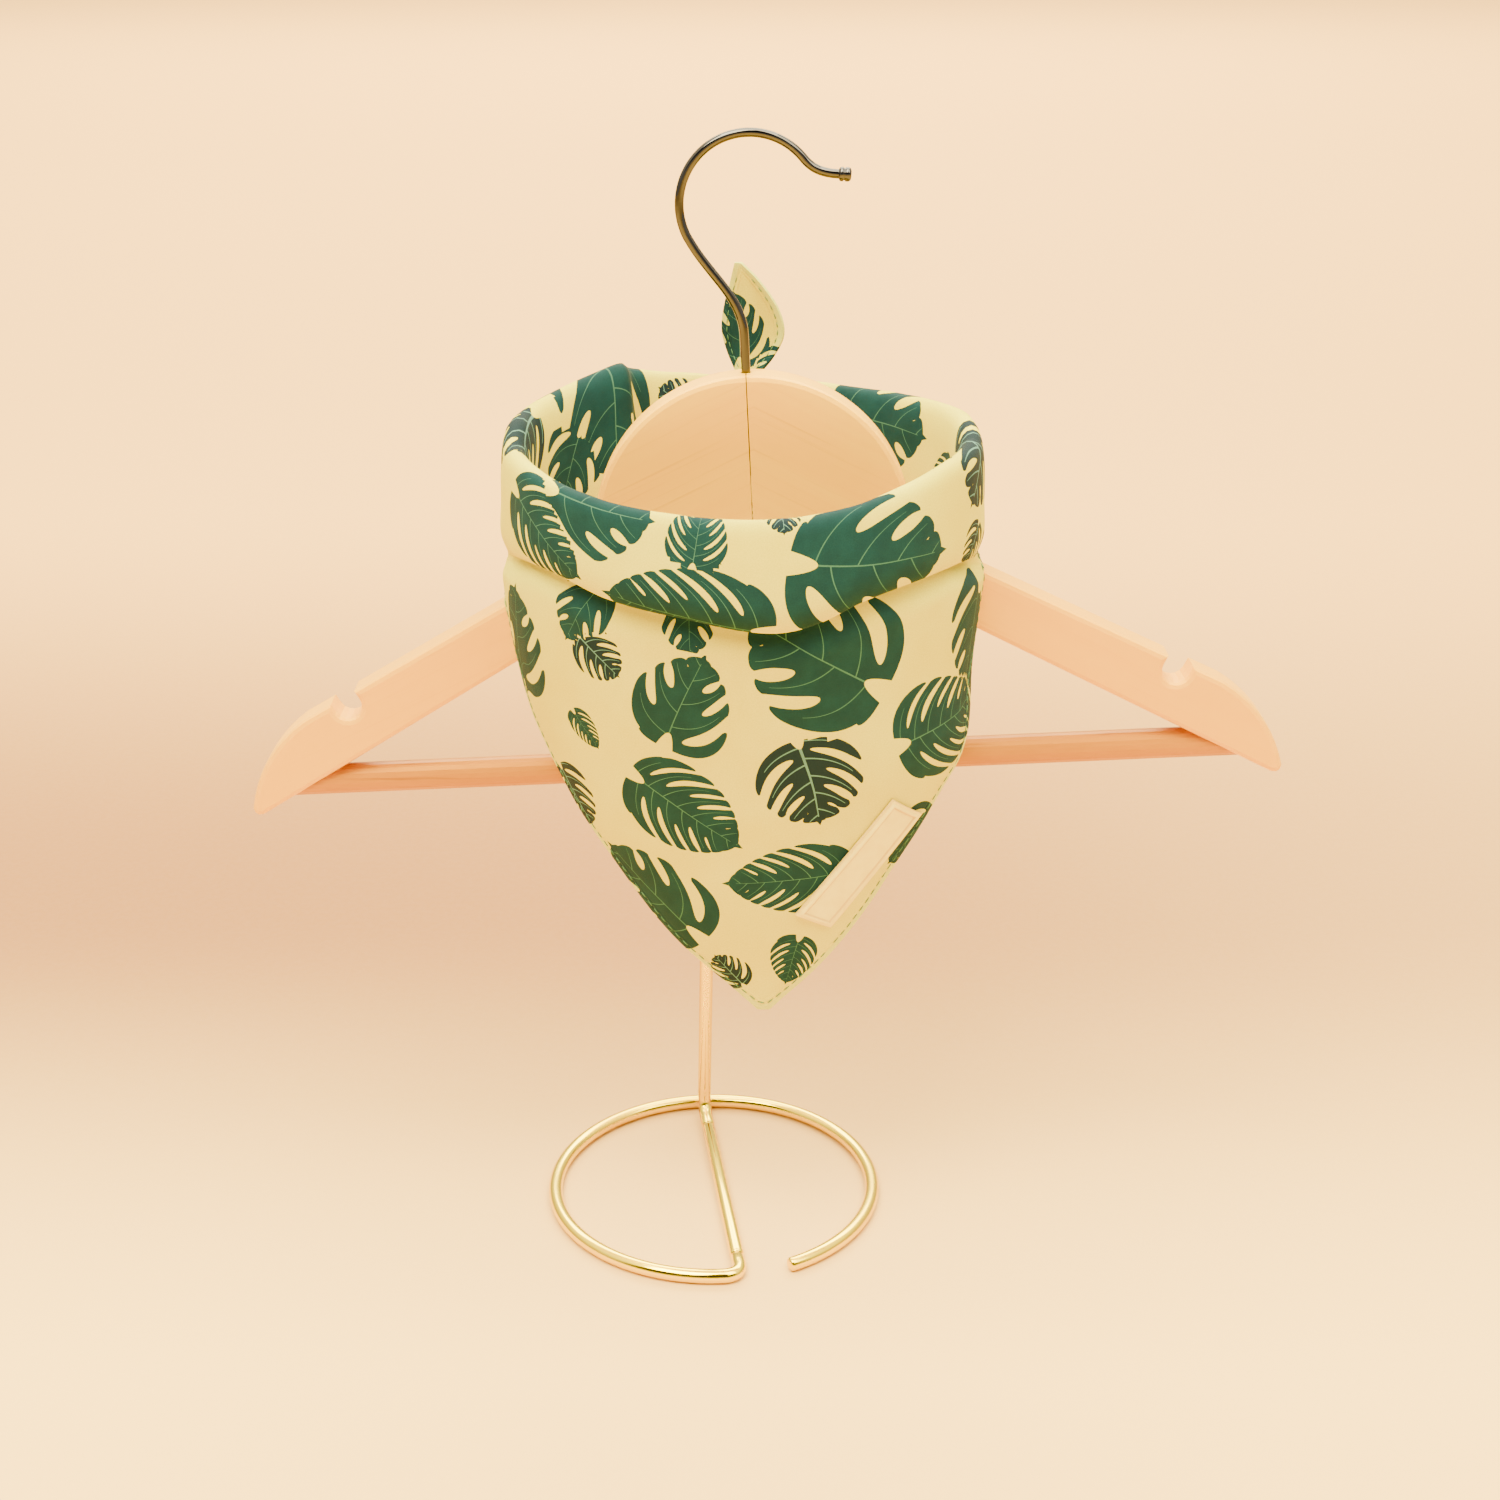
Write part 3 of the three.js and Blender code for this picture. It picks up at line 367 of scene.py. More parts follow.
@dataclass(frozen=True)
class PrintedCotton(Finish):
    """Plain-woven cotton with a leaf print; its maps are in millimetres of cloth."""

    ground: Colour = (0.64, 0.555, 0.016, 1)
    ground_pale: Colour = (0.66, 0.60, 0.036, 1)
    hem: Colour = (0.54, 0.60, 0.12, 1)
    leaf: Colour = (0.007, 0.043, 0.042, 1)
    leaf_deep: Colour = (0.005, 0.028, 0.028, 1)
    ragged: Colour = (0.007, 0.020, 0.024, 1)
    vein: Colour = (0.052, 0.150, 0.090, 1)
    mint: Colour = (0.11, 0.24, 0.18, 1)
    thread: float = 0.42
    seam: float = 2.2
    ink: float = 0.85

    def dress(self, nodes: Nodes, shader: bpy.types.Node) -> None:
        """The print in colour, and the weave in relief."""
        cloth = nodes.uv("cloth")
        hem = nodes.add("Attribute", attribute_name="hem").outputs["Fac"]
        area, colour = self.printed(nodes, cloth, hem)
        nodes.put(shader.inputs["Base Color"], colour)
        self.weave(nodes, shader, cloth, hem, area)

    def printed(self, nodes: Nodes, cloth: object, hem: object) -> tuple[object, object]:
        """Where a leaf is printed, and the colour of the cloth with its print and paler hem."""
        n = nodes
        leaf = n.uv("leaf")
        kind = n.add("SeparateXYZ", {0: n.uv("kind")})
        mottle = n.noise(cloth, 0.035, 3.0)
        ground = n.mix(n.ramp(mottle, 0.35, 0.65), self.ground, self.ground_pale)
        ground = n.mix(n.ramp(hem, 1.2, 2.6, 0.75, 0.0), ground, self.hem)

        area: object = 0.0
        vein: object = 0.0
        for leaf_kind, shape in LEAF_SHAPES.items():
            tree = shape.group(f"leaf {leaf_kind.name.lower()}")
            drawn = n.add("Group", node_tree=tree)
            n.put(drawn.inputs[0], leaf)
            chosen = n.math("COMPARE", kind.outputs[0], float(leaf_kind.value), 0.3)
            area = n.math("ADD", area, n.math("MULTIPLY", drawn.outputs[0], chosen))
            vein = n.math("ADD", vein, n.math("MULTIPLY", drawn.outputs[1], chosen))
            if leaf_kind is LeafKind.RAGGED:
                is_ragged = chosen
        soft = n.ramp(n.noise(cloth, 0.12, 3.0), 0.35, 0.7)
        tone = n.math("MULTIPLY", n.math("ADD", soft, kind.outputs[1]), 0.5)
        green = n.mix(is_ragged, n.mix(tone, self.leaf_deep, self.leaf), self.ragged)
        lines = n.mix(is_ragged, self.vein, self.mint)
        ink = n.mix(n.math("MULTIPLY", vein, self.ink), green, lines)
        printed = n.mix(area, ground, ink)
        speck = n.ramp(n.noise(cloth, 2.4, 2.0), 0.3, 0.7, 0.93, 1.05)
        toned = n.add("VectorMath", {0: printed}, operation="SCALE")
        n.put(toned.inputs["Scale"], speck)
        return area, toned.outputs[0]

    def weave(self, nodes: Nodes, shader: bpy.types.Node, cloth: object, hem: object, area: object) -> None:
        """Threads, slubs, soft creases and the hem's ridge, as bump and roughness."""
        n = nodes
        where = n.add("SeparateXYZ", {0: cloth})
        turns = 2 * math.pi / self.thread
        warp = n.math("SINE", n.math("MULTIPLY", where.outputs[0], turns))
        weft = n.math("SINE", n.math("MULTIPLY", where.outputs[1], turns))
        weave = n.math("MULTIPLY", n.math("ADD", n.math("MULTIPLY", warp, weft), 1.0), 0.5)
        slub = n.noise(n.scaled(cloth, (1.0, 0.12, 1.0)), 1.1, 2.0)
        crease = n.noise(n.scaled(cloth, (1.0, 0.45, 1.0)), 0.09, 4.0, 0.45)
        ridge = n.ramp(hem, 2.9, 3.5, 1.0, 0.0)
        groove = n.ramp(n.math("ABSOLUTE", n.math("SUBTRACT", hem, self.seam)), 0.0, 0.7)
        height = n.math("ADD", n.math("MULTIPLY", weave, 0.10), n.math("MULTIPLY", slub, 0.10))
        height = n.math("ADD", height, n.math("MULTIPLY", n.math("MULTIPLY", ridge, groove), 0.4))
        height = n.math("ADD", height, n.math("MULTIPLY", crease, 1.2))
        self.bump(n, shader, height, 0.0005, 0.7)
        rough = n.math("ADD", n.ramp(weave, 0.0, 1.0, 0.0, 0.06), n.math("MULTIPLY", area, -0.05))
        n.put(shader.inputs["Roughness"], n.math("ADD", rough, 0.72))


@dataclass(frozen=True)
class Wood(Finish):
    """Varnished wood with a straight grain along one axis."""

    light: Colour = (0.96, 0.52, 0.002, 1)
    dark: Colour = (0.92, 0.44, 0.002, 1)
    streak: Colour = (0.58, 0.19, 0.002, 1)
    streaks: float = 0.35
    # painted light: a darker copy of the same wood for the arms, which leaves the head lighter in place of
    # light that the rolled collar keeps from it
    arm_painted_darker: Colour = (0.78, 0.375, 0.002, 1)
    slope: float = 0.0
    middle: float = -0.0037

    def dress(self, nodes: Nodes, shader: bpy.types.Node) -> None:
        """Broad bands, fine pores and a softly uneven varnish; the grain follows the slope of both arms.
        Painted light: the head keeps the lighter copy of the wood and the arms take a darker one, to make
        up for the shade of the rolled collar on the head.
        """
        n = nodes
        x, y, z = n.add("SeparateXYZ", {0: n.object_point()}).outputs
        fallen = n.math("MULTIPLY", n.math("ABSOLUTE", n.math("SUBTRACT", x, self.middle)), self.slope)
        point = n.add("CombineXYZ", {0: x, 1: y, 2: n.math("ADD", z, fallen)}).outputs[0]
        broad = n.noise(n.scaled(point, (5.0, 60.0, 60.0)), 1.0, 4.0, 0.6)
        fine = n.noise(n.scaled(point, (14.0, 700.0, 700.0)), 1.0, 3.0, 0.6)
        cloud = n.noise(point, 22.0, 2.0)
        base = n.mix(n.ramp(broad, 0.35, 0.68), self.light, self.dark)
        pores = n.math("MULTIPLY", n.ramp(fine, 0.55, 0.75), self.streaks)
        base = n.mix(pores, base, self.streak)
        base = n.mix(n.ramp(cloud, 0.4, 0.8, 0.0, 0.25), base, self.dark)
        # painted light: away from the head the wood turns to its darker copy, so the head, shaded by the
        # rolled collar, shows lighter
        base = n.mix(n.ramp(fallen, 0.02, 0.045, 0.0, 0.7), base, self.arm_painted_darker)
        n.put(shader.inputs["Base Color"], base)
        n.put(shader.inputs["Roughness"], n.ramp(cloud, 0.3, 0.7, 0.30, 0.42))
        height = n.math("ADD", n.math("MULTIPLY", fine, 0.35), n.math("MULTIPLY", broad, 0.65))
        self.bump(n, shader, height, 0.0003, 0.25)


@dataclass(frozen=True)
class Metal(Finish):
    """Polished metal with faint drawing lines and handling marks."""

    bright: Colour = (0.8, 0.8, 0.8, 1)
    worn: Colour = (0.6, 0.6, 0.6, 1)
    smooth: float = 0.08
    dull: float = 0.2

    def dress(self, nodes: Nodes, shader: bpy.types.Node) -> None:
        """Uneven polish and a trace of tarnish."""
        n = nodes
        point = n.object_point()
        cloud = n.noise(point, 45.0, 3.0)
        fine = n.noise(point, 900.0, 2.0)
        n.put(shader.inputs["Base Color"], n.mix(n.ramp(cloud, 0.45, 0.8), self.bright, self.worn))
        n.put(shader.inputs["Roughness"], n.ramp(cloud, 0.3, 0.75, self.smooth, self.dull))
        self.bump(n, shader, fine, 0.00004, 0.3)


@dataclass(frozen=True)
class LabelStock(Finish):
    """Pale coated label with a fine grain."""

    pale: Colour = (0.88, 0.74, 0.11, 1)
    deep: Colour = (0.82, 0.66, 0.09, 1)
    line: Colour = (0.56, 0.32, 0.045, 1)
    ruled_at: float = 1.8

    def dress(self, nodes: Nodes, shader: bpy.types.Node) -> None:
        """Leather-like grain, slight shading, and darker lines along the frame and the cut edge."""
        n = nodes
        point = n.object_point()
        grain = n.add("TexVoronoi", {"Vector": point, "Scale": 2300.0}).outputs[0]
        cloud = n.noise(point, 160.0, 3.0)
        stock = n.mix(n.ramp(cloud, 0.3, 0.7), self.pale, self.deep)
        edge = n.add("Attribute", attribute_name="hem").outputs["Fac"]
        from_line = n.math("ABSOLUTE", n.math("SUBTRACT", edge, self.ruled_at))
        ruled = n.ramp(from_line, 0.08, 0.38, 0.75, 0.0)
        ruled = n.math("ADD", ruled, n.ramp(edge, 0.0, 0.3, 0.6, 0.0))
        n.put(shader.inputs["Base Color"], n.mix(ruled, stock, self.line))
        n.put(shader.inputs["Roughness"], n.ramp(cloud, 0.3, 0.7, 0.5, 0.62))
        self.bump(n, shader, n.math("ADD", grain, cloud), 0.00012, 0.35)


@dataclass(frozen=True)
class Thread(Finish):
    """Twisted sewing thread."""

    colour: Colour = (0.030, 0.12, 0.05, 1)
    light: Colour = (0.07, 0.20, 0.08, 1)

    def dress(self, nodes: Nodes, shader: bpy.types.Node) -> None:
        """Fine twist in colour and bump."""
        n = nodes
        point = n.object_point()
        twist = n.add("TexWave", {"Vector": point, "Scale": 900.0, "Distortion": 2.0}).outputs[1]
        n.put(shader.inputs["Base Color"], n.mix(twist, self.colour, self.light))
        n.put(shader.inputs["Roughness"], n.ramp(twist, 0.0, 1.0, 0.55, 0.75))
        self.bump(n, shader, twist, 0.0001, 0.5)


@dataclass(frozen=True)
class Backdrop(Finish):
    """Pale paper sweep, with a band of painted shade behind the object and painted light and shade farther
    back.
    """

    pale: Colour = (0.84, 0.54, 0.15, 1)
    # painted shade: the band behind the object
    deep: Colour = (0.31, 0.14, 0.032, 1)
    # painted shade and painted light farther back on the floor, darker and then lighter, in place of the
    # backdrop's lighting
    far: Colour = (0.74, 0.41, 0.10, 1)
    farthest_painted_light: Colour = (0.98, 0.55, 0.14, 1)

    def dress(self, nodes: Nodes, shader: bpy.types.Node) -> None:
        """Painted shade in a soft band, painted lighter towards the right, painted light and shade farther
        back, and paper tooth.
        """
        n = nodes
        point = n.object_point()
        x, y = n.add("SeparateXYZ", {0: point}).outputs[:2]
        # painted shade in a band behind the object, painted lighter towards the right
        deep = n.mix(n.ramp(x, -0.1, 0.45, 0.0, 0.3), self.deep, self.pale)
        near = n.mix(n.ramp(y, -0.12, 0.21), self.pale, deep)
        # painted light and shade farther back: darker at first, lighter far away
        far = n.mix(n.ramp(y, 2.6, 5.6), self.far, self.farthest_painted_light)
        n.put(shader.inputs["Base Color"], n.mix(n.ramp(y, 0.22, 0.85), near, far))
        tooth = n.noise(point, 350.0, 2.0)
        n.put(shader.inputs["Roughness"], n.ramp(tooth, 0.3, 0.7, 0.85, 0.95))
        self.bump(n, shader, tooth, 0.0002, 0.2)


COTTON = PrintedCotton(
    "printed cotton",
    {
        "Sheen Weight": 0.04,
        "Sheen Roughness": 0.4,
        "Sheen Tint": (1.0, 0.9, 0.5, 1),
        "Specular IOR Level": 0.08,
    },
)
BEECH = Wood(
    "varnished wood",
    {"Specular IOR Level": 0.4, "Specular Tint": (1.0, 0.55, 0.05, 1)},
    slope=0.5,
)
BAR_WOOD = Wood(
    "bar wood",
    {"Specular IOR Level": 0.4, "Specular Tint": (1.0, 0.5, 0.05, 1)},
    light=(0.45, 0.175, 0.003, 1),
    dark=(0.36, 0.12, 0.002, 1),
    streak=(0.17, 0.045, 0.002, 1),
    streaks=0.6,
)
CHROME = Metal(
    "chrome",
    {"Metallic": 1.0},
    bright=(0.08, 0.078, 0.075, 1),
    worn=(0.06, 0.058, 0.056, 1),
    smooth=0.04,
    dull=0.09,
)
BRASS = Metal(
    "gold wire",
    {"Metallic": 1.0},
    bright=(0.93, 0.69, 0.015, 1),
    worn=(0.84, 0.59, 0.012, 1),
    smooth=0.12,
    dull=0.25,
)
STOCK = LabelStock("label stock", {"Specular IOR Level": 0.4})
THREAD = Thread("green thread")
PAPER = Backdrop("paper sweep")

# Where no leaf is within reach, the maps hold a place and a kind that no leaf has.
LEAF_REACH = 1.35
NO_LEAF = (9.0, 9.0)
NO_KIND = (7.0, 0.0)
FAR_FROM_HEM = 50.0


def finish_piece(
    bm: bmesh.types.BMesh, name: str, finish: Finish, slot: Slot, *replaced: str
) -> bpy.types.Object:
    """Turns a shape in millimetres into a piece of the scene that rides on the body.

    Args:
        bm: the shape; it is freed.
        name: the piece's name.
        finish: what it is covered in.
        slot: the record's material slot; not used.
        *replaced: the CAD nodes that it stands for.

    Returns:
        The piece.
    """
    bm.transform(TO_FRAME)
    mesh = bpy.data.meshes.new(name)
    bm.to_mesh(mesh)
    bm.free()
    mesh.shade_smooth()
    mesh.materials.append(finish.made())
    piece = bpy.data.objects.new(name, mesh)
    bpy.context.scene.collection.objects.link(piece)
    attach(piece, "root")
    if replaced:
        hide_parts(*replaced)
    log.info("%s: %d faces", name, len(mesh.polygons))
    return piece


def cloth_mesh() -> bmesh.types.BMesh:
    """An empty mesh with the layers that the finishes of cloth and label read."""
    bm = bmesh.new()
    bm.verts.layers.float.new("hem")
    for name in ("cloth", "leaf", "kind"):
        bm.loops.layers.uv.new(name)
    return bm


def shaped_grid(
    across: int, down: int, place: Callable[[int, int], Vector]
) -> tuple[bmesh.types.BMesh, Columns]:
    """A grid of quads whose points are moved onto a surface.

    Args:
        across: spaces across.
        down: spaces down.
        place: where the point of a column and row goes.

    Returns:
        The shape, and its points by column and row.
    """
    bm = cloth_mesh()
    made = bmesh.ops.create_grid(bm, x_segments=across, y_segments=down, size=0.5)
    ordered = sorted(made["verts"], key=lambda v: (round(v.co.x, 5), -round(v.co.y, 5)))
    columns = [ordered[i * (down + 1) : (i + 1) * (down + 1)] for i in range(across + 1)]
    for i, line in enumerate(columns):
        for j, vert in enumerate(line):
            vert.co = place(i, j)
    bm.normal_update()
    return bm, columns


def give_thickness(piece: bpy.types.Object, thickness: float, rounding: float) -> None:
    """Gives a cloth surface its thickness in millimetres, with softly rounded edges."""
    wall = piece.modifiers.new("wall", "SOLIDIFY")
    wall.thickness, wall.offset = thickness / 1000, 0.0
    soft = piece.modifiers.new("edge", "BEVEL")
    soft.width, soft.segments, soft.limit_method = rounding / 1000, 2, "ANGLE"
    soft.angle_limit = math.radians(62)


@dataclass(frozen=True)
class Leaf:
    """A printed leaf: its middle on the cloth, its length, its turn from hanging down, and its kind."""

    across: float
    down: float
    length: float
    turn: float
    kind: LeafKind
    wide: float = 1.0
    tone: float = 0.5

    def at(self, point: Vector) -> Vector:
        """A point of the cloth in shares of the leaf's length, with its tip up the y axis."""
        away = point - Vector((self.across, self.down))
        angle = math.radians(self.turn)
        tip = Vector((math.sin(angle), math.cos(angle)))
        side = Vector((math.cos(angle), -math.sin(angle)))
        return Vector((away.dot(side) / self.wide, away.dot(tip))) / self.length

    def nearness(self, point: Vector) -> float:
        """Below about 1 inside the leaf's outline."""
        local = self.at(point)
        half = LEAF_SHAPES[self.kind].half_width * 1.12
        return math.hypot(local.x / half, local.y / 0.56)


def print_cloth(
    bm: bmesh.types.BMesh, flat: dict[bmesh.types.BMVert, Vector], leaves: Sequence[Leaf]
) -> None:
    """Lays the cloth's maps on a shape.

    Args:
        bm: the shape.
        flat: where each point is on the flat cloth, in millimetres.
        leaves: the leaves printed on it.
    """
    cloth, leaf_map, kinds = (bm.loops.layers.uv[name] for name in ("cloth", "leaf", "kind"))
    for face in bm.faces:
        spots = [flat[loop.vert] for loop in face.loops]
        middle = sum(spots, Vector((0.0, 0.0))) / len(spots)
        near = min(leaves, key=lambda leaf: leaf.nearness(middle), default=None)
        if near and near.nearness(middle) > LEAF_REACH:
            near = None
        for loop, spot in zip(face.loops, spots):
            loop[cloth].uv = spot
            loop[leaf_map].uv = near.at(spot) if near else NO_LEAF
            loop[kinds].uv = (near.kind.value, near.tone) if near else NO_KIND


@dataclass
class Sheet:
    """A cloth mesh with its layout on the flat, to place things sewn on it."""

    bm: bmesh.types.BMesh
    flat: dict[bmesh.types.BMVert, Vector]

    def __post_init__(self) -> None:
        """Builds the flat layout's search tree, and measures the layout in metres."""
        corners: list[Vector] = []
        triangles: list[tuple[int, int, int]] = []
        self.solid: list[Vector] = []
        for verts in [list(face.verts) for face in self.bm.faces]:
            for three in (verts[:3], [verts[0], *verts[2:4]]):
                base = len(corners)
                corners += [self.flat[v].to_3d() for v in three]
                self.solid += [v.co.copy() for v in three]
                triangles.append((base, base + 1, base + 2))
        self.area = sum(geometry.area_tri(*(corners[i] for i in three)) for three in triangles) * 1e-6
        spans = [[spot[axis] for spot in self.flat.values()] for axis in (0, 1)]
        self.size = tuple((max(span) - min(span)) * 0.001 for span in spans)
        self.corners = corners
        self.tree = BVHTree.FromPolygons(corners, triangles)

    def point(self, spot: Vector) -> Vector:
        """The point in space of a spot on the flat cloth."""
        where, _, index, _ = self.tree.find_nearest(spot.to_3d())
        flat = self.corners[3 * index : 3 * index + 3]
        solid = self.solid[3 * index : 3 * index + 3]
        return geometry.barycentric_transform(where, *flat, *solid)


@dataclass
class Bandana:
    """The bandana itself: rolled edge, hanging triangle and the stretches to the knot, as one cloth."""

    thickness: float = 1.0
    loop_x: float = -2.2
    loop_y: float = -2.0
    across: float = 66.8
    forward: float = 51.0
    back: float = 49.0
    inner: float = -6.5
    tuck: float = 0.9
    hem_turn: float = 83.0
    back_starts: float = 84.15
    back_ends: float = 172.1
    hidden_rise: float = 9.0
    flat_height: float = 272.0
    row_counts: tuple[int, int, int, int] = (22, 26, 12, 62)
    full_hem: float = 198.0
    back_hem: float = 205.0
    collar: list[Row] = field(default_factory=lambda: rows(
        "turn rim crease swell",
        (-84, 258.2, 226.5, 0.8), (-67, 256.8, 229.5, 1.0), (-49, 253.8, 229.4, 1.6),
        (-33, 251.2, 225.5, 2.2), (-15, 249.4, 222.2, 2.8), (4, 248.5, 218.2, 3.2),
        (14, 249.0, 219.0, 3.0), (28, 251.0, 225.0, 2.4),
        (42, 254.5, 228.0, 1.8), (60, 258.2, 229.0, 1.2), (84, 259.8, 226.0, 0.8),
    ))
    back_left: list[Row] = field(default_factory=lambda: rows(
        "turn rim crease foot flare drop back puff",
        (84, 258.2, 226.5, 210.4, 3.6, 31, 0, 1), (97, 262.4, 226.0, 211.0, 3.2, 34, 0, 1),
        (110, 263.5, 227.0, 215.5, 2.4, 35, 1, 1), (123, 266.5, 229.0, 220.0, 2.0, 36, 0, 1),
        (135, 270.6, 233.0, 226.0, 2.0, 36, -3, 1), (143, 273.0, 237.0, 230.0, 2.0, 36, -5, 1),
        (150, 269.5, 239.0, 234.0, 1.8, 31, 3, 0.8), (160, 267.5, 243.0, 239.0, 1.6, 26, 3, 0.65),
        (173, 265.5, 247.0, 244.0, 1.5, 20, 5, 0.5),
    ))
    back_right: list[Row] = field(default_factory=lambda: rows(
        "turn rim crease foot flare drop back puff",
        (84, 259.8, 226.0, 220.9, 4.4, 31, 0, 1), (97, 262.4, 227.5, 221.4, 3.2, 33, 0, 1),
        (112, 263.3, 229.0, 222.5, 2.4, 34, 1, 1), (127, 263.9, 231.5, 226.0, 2.0, 33, 0, 1),
        (141, 263.5, 235.0, 230.5, 2.0, 29, 2, 0.9), (150, 264.0, 239.0, 235.0, 1.8, 25, 1, 0.75),
        (160, 264.3, 243.0, 239.0, 1.6, 22, 3, 0.65), (173, 264.6, 247.0, 244.0, 1.5, 19, 5, 0.5),
    ))
    panel: list[Row] = field(default_factory=lambda: rows(
        "z left left_edge right right_edge front wrap",
        (88.8, 2.4, -33.0, 5.8, -33.0, -33.2, 28), (92, -1.0, -32.6, 9.0, -32.8, -33.9, 30),
        (97, -6.3, -31.8, 14.6, -32.2, -35.0, 34), (102, -12.5, -30.8, 19.8, -31.5, -36.1, 38),
        (110, -21.2, -29.3, 26.7, -30.6, -37.9, 44), (118, -28.4, -27.8, 32.7, -29.5, -39.5, 48),
        (126, -34.4, -26.0, 38.1, -28.2, -41.0, 51), (134, -40.2, -24.0, 42.9, -27.0, -42.4, 54),
        (142, -45.8, -22.0, 48.0, -25.5, -43.8, 58), (150, -51.1, -19.5, 52.9, -24.0, -45.2, 62),
        (158, -55.6, -17.0, 57.5, -22.0, -46.6, 66), (166, -59.8, -14.5, 62.1, -19.5, -47.9, 70),
        (174, -63.6, -12.0, 64.7, -17.0, -49.1, 74), (182, -66.5, -10.0, 65.4, -14.5, -50.2, 78),
        (190, -68.4, -8.5, 65.5, -12.0, -51.2, 81), (198, -69.8, -8.0, 66.2, -10.0, -52.1, 83),
        (206, -70.9, -8.0, 67.2, -8.8, -52.9, 83), (214, -71.8, -8.0, 68.1, -8.0, -53.5, 83),
        (222, -72.4, -8.0, 68.8, -8.0, -53.8, 83), (240, -72.4, -8.0, 68.8, -8.0, -53.8, 83),
    ))
    leaves: Sequence[Leaf] = ()

    def loop_point(self, turn: float, out: float, z: float) -> Vector:
        """A point of the loop, at a turn from the front in degrees, moved out from the rim's line."""
        angle = math.radians(turn)
        depth = self.forward if math.cos(angle) > 0 else self.back
        x = self.loop_x + (self.across + out) * math.sin(angle)
        return Vector((x, self.loop_y - (depth + out) * math.cos(angle), z))

    def panel_value(self, name: str, z: float) -> float:
        """A column of the hanging triangle's table at a height."""
        return column(self.panel, name, z, "z")

    def panel_point(self, turn: float, z: float, opened: float = 0.0) -> Vector:
        """A point of the hanging triangle, or of its top behind the crease.

        Args:
            turn: degrees from the front.
            z: height.
            opened: 1 where the crease has opened out at the sides.

        Returns:
            The point.
        """
        sides = ("left", "right", "front", "wrap")
        left, right, front, wrap = (self.panel_value(name, z) for name in sides)
        hem = self.panel_value("left_edge" if turn < 0 else "right_edge", z)
        curl, angle = math.radians(wrap), math.radians(turn)
        depth = (math.cos(angle) - math.cos(curl)) / (1 - math.cos(curl))
        crease = column(self.collar, "crease", turn)
        side_step = 4.6 if turn < 0 else 5.3
        step_in = lerp(lerp(1.7, side_step, math.sin(angle) ** 2), 1.5, opened)
        step = step_in * smoothstep(z, crease - 7.5, crease - 1.8)
        wide = (right - left) / 2 / math.sin(curl) - step
        x = (left + right) / 2 + wide * math.sin(angle)
        return Vector((x, lerp(hem, front, depth) + step * math.cos(angle), z))

    def hem_height(self, turn: float) -> float:
        """Height of the hem at a turn at the front."""
        low, high = self.panel[0]["z"], self.full_hem
        if abs(turn) <= self.panel[0]["wrap"]:
            return low
        for _ in range(30):
            middle = (low + high) / 2
            if self.panel_value("wrap", middle) < abs(turn):
                low = middle
            else:
                high = middle
        return (low + high) / 2

    def front_line(self, turn: float) -> list[list[Vector]]:
        """The cloth's line at a turn at the front, in four stretches from its inner edge to its hem."""
        rim, crease, swell = (column(self.collar, name, turn) for name in ("rim", "crease", "swell"))
        opened = smoothstep(abs(turn), 66, 84)
        lowest = 2.8 + swell * 0.8
        fold = lowest - self.tuck
        profile = [
            (self.inner, rim - 31), (self.inner + 1.3, rim - 16), (-3.9, rim - 5), (-2.2, rim - 0.9),
            (0, rim), (2, rim - 1.4), (2.8 + swell * 0.4, rim - 8), (lowest, (rim + crease) / 2),
            (3 + swell, crease + 6),
        ]
        folded = [
            (lowest, 2.2), (lowest - fold * 0.25, 0.45), (lowest - fold * 0.6, 0),
            (self.tuck + fold * 0.1, 0.9), (self.tuck, 3), (self.tuck - 0.1, self.hidden_rise),
            (0.0, self.hidden_rise + 1.0),
        ]
        spread = [(2.6, 2.0), (2.1, 0.9), (1.9, 0), (1.9, -0.5), (1.95, -1.0), (2.0, -1.5), (2.05, -2.0)]
        profile += [
            (lerp(a[0], b[0], opened), crease + lerp(a[1], b[1], opened)) for a, b in zip(folded, spread)
        ]
        points = [self.loop_point(turn, out, z) for out, z in profile]
        rises = ((self.hidden_rise, -2.5), (3.0, -3.0), (-2.0, -3.5))
        starts = [lerp(hidden, low, opened) for hidden, low in rises]
        points += [self.panel_point(turn, crease + rise, opened) for rise in starts]
        top, hem = crease + starts[-1], self.hem_height(turn)
        steps = 20
        hanging = [self.panel_point(turn, lerp(top, hem, k / steps), opened) for k in range(1, steps + 1)]
        dense = spline([*points, hanging[0]], 8)
        rim_at, crease_at, start_at = 4 * 8, 11 * 8, 18 * 8
        return [
            dense[: rim_at + 1],
            dense[rim_at : crease_at + 1],
            dense[crease_at : start_at + 1],
            spline([dense[start_at], *hanging], 4),
        ]

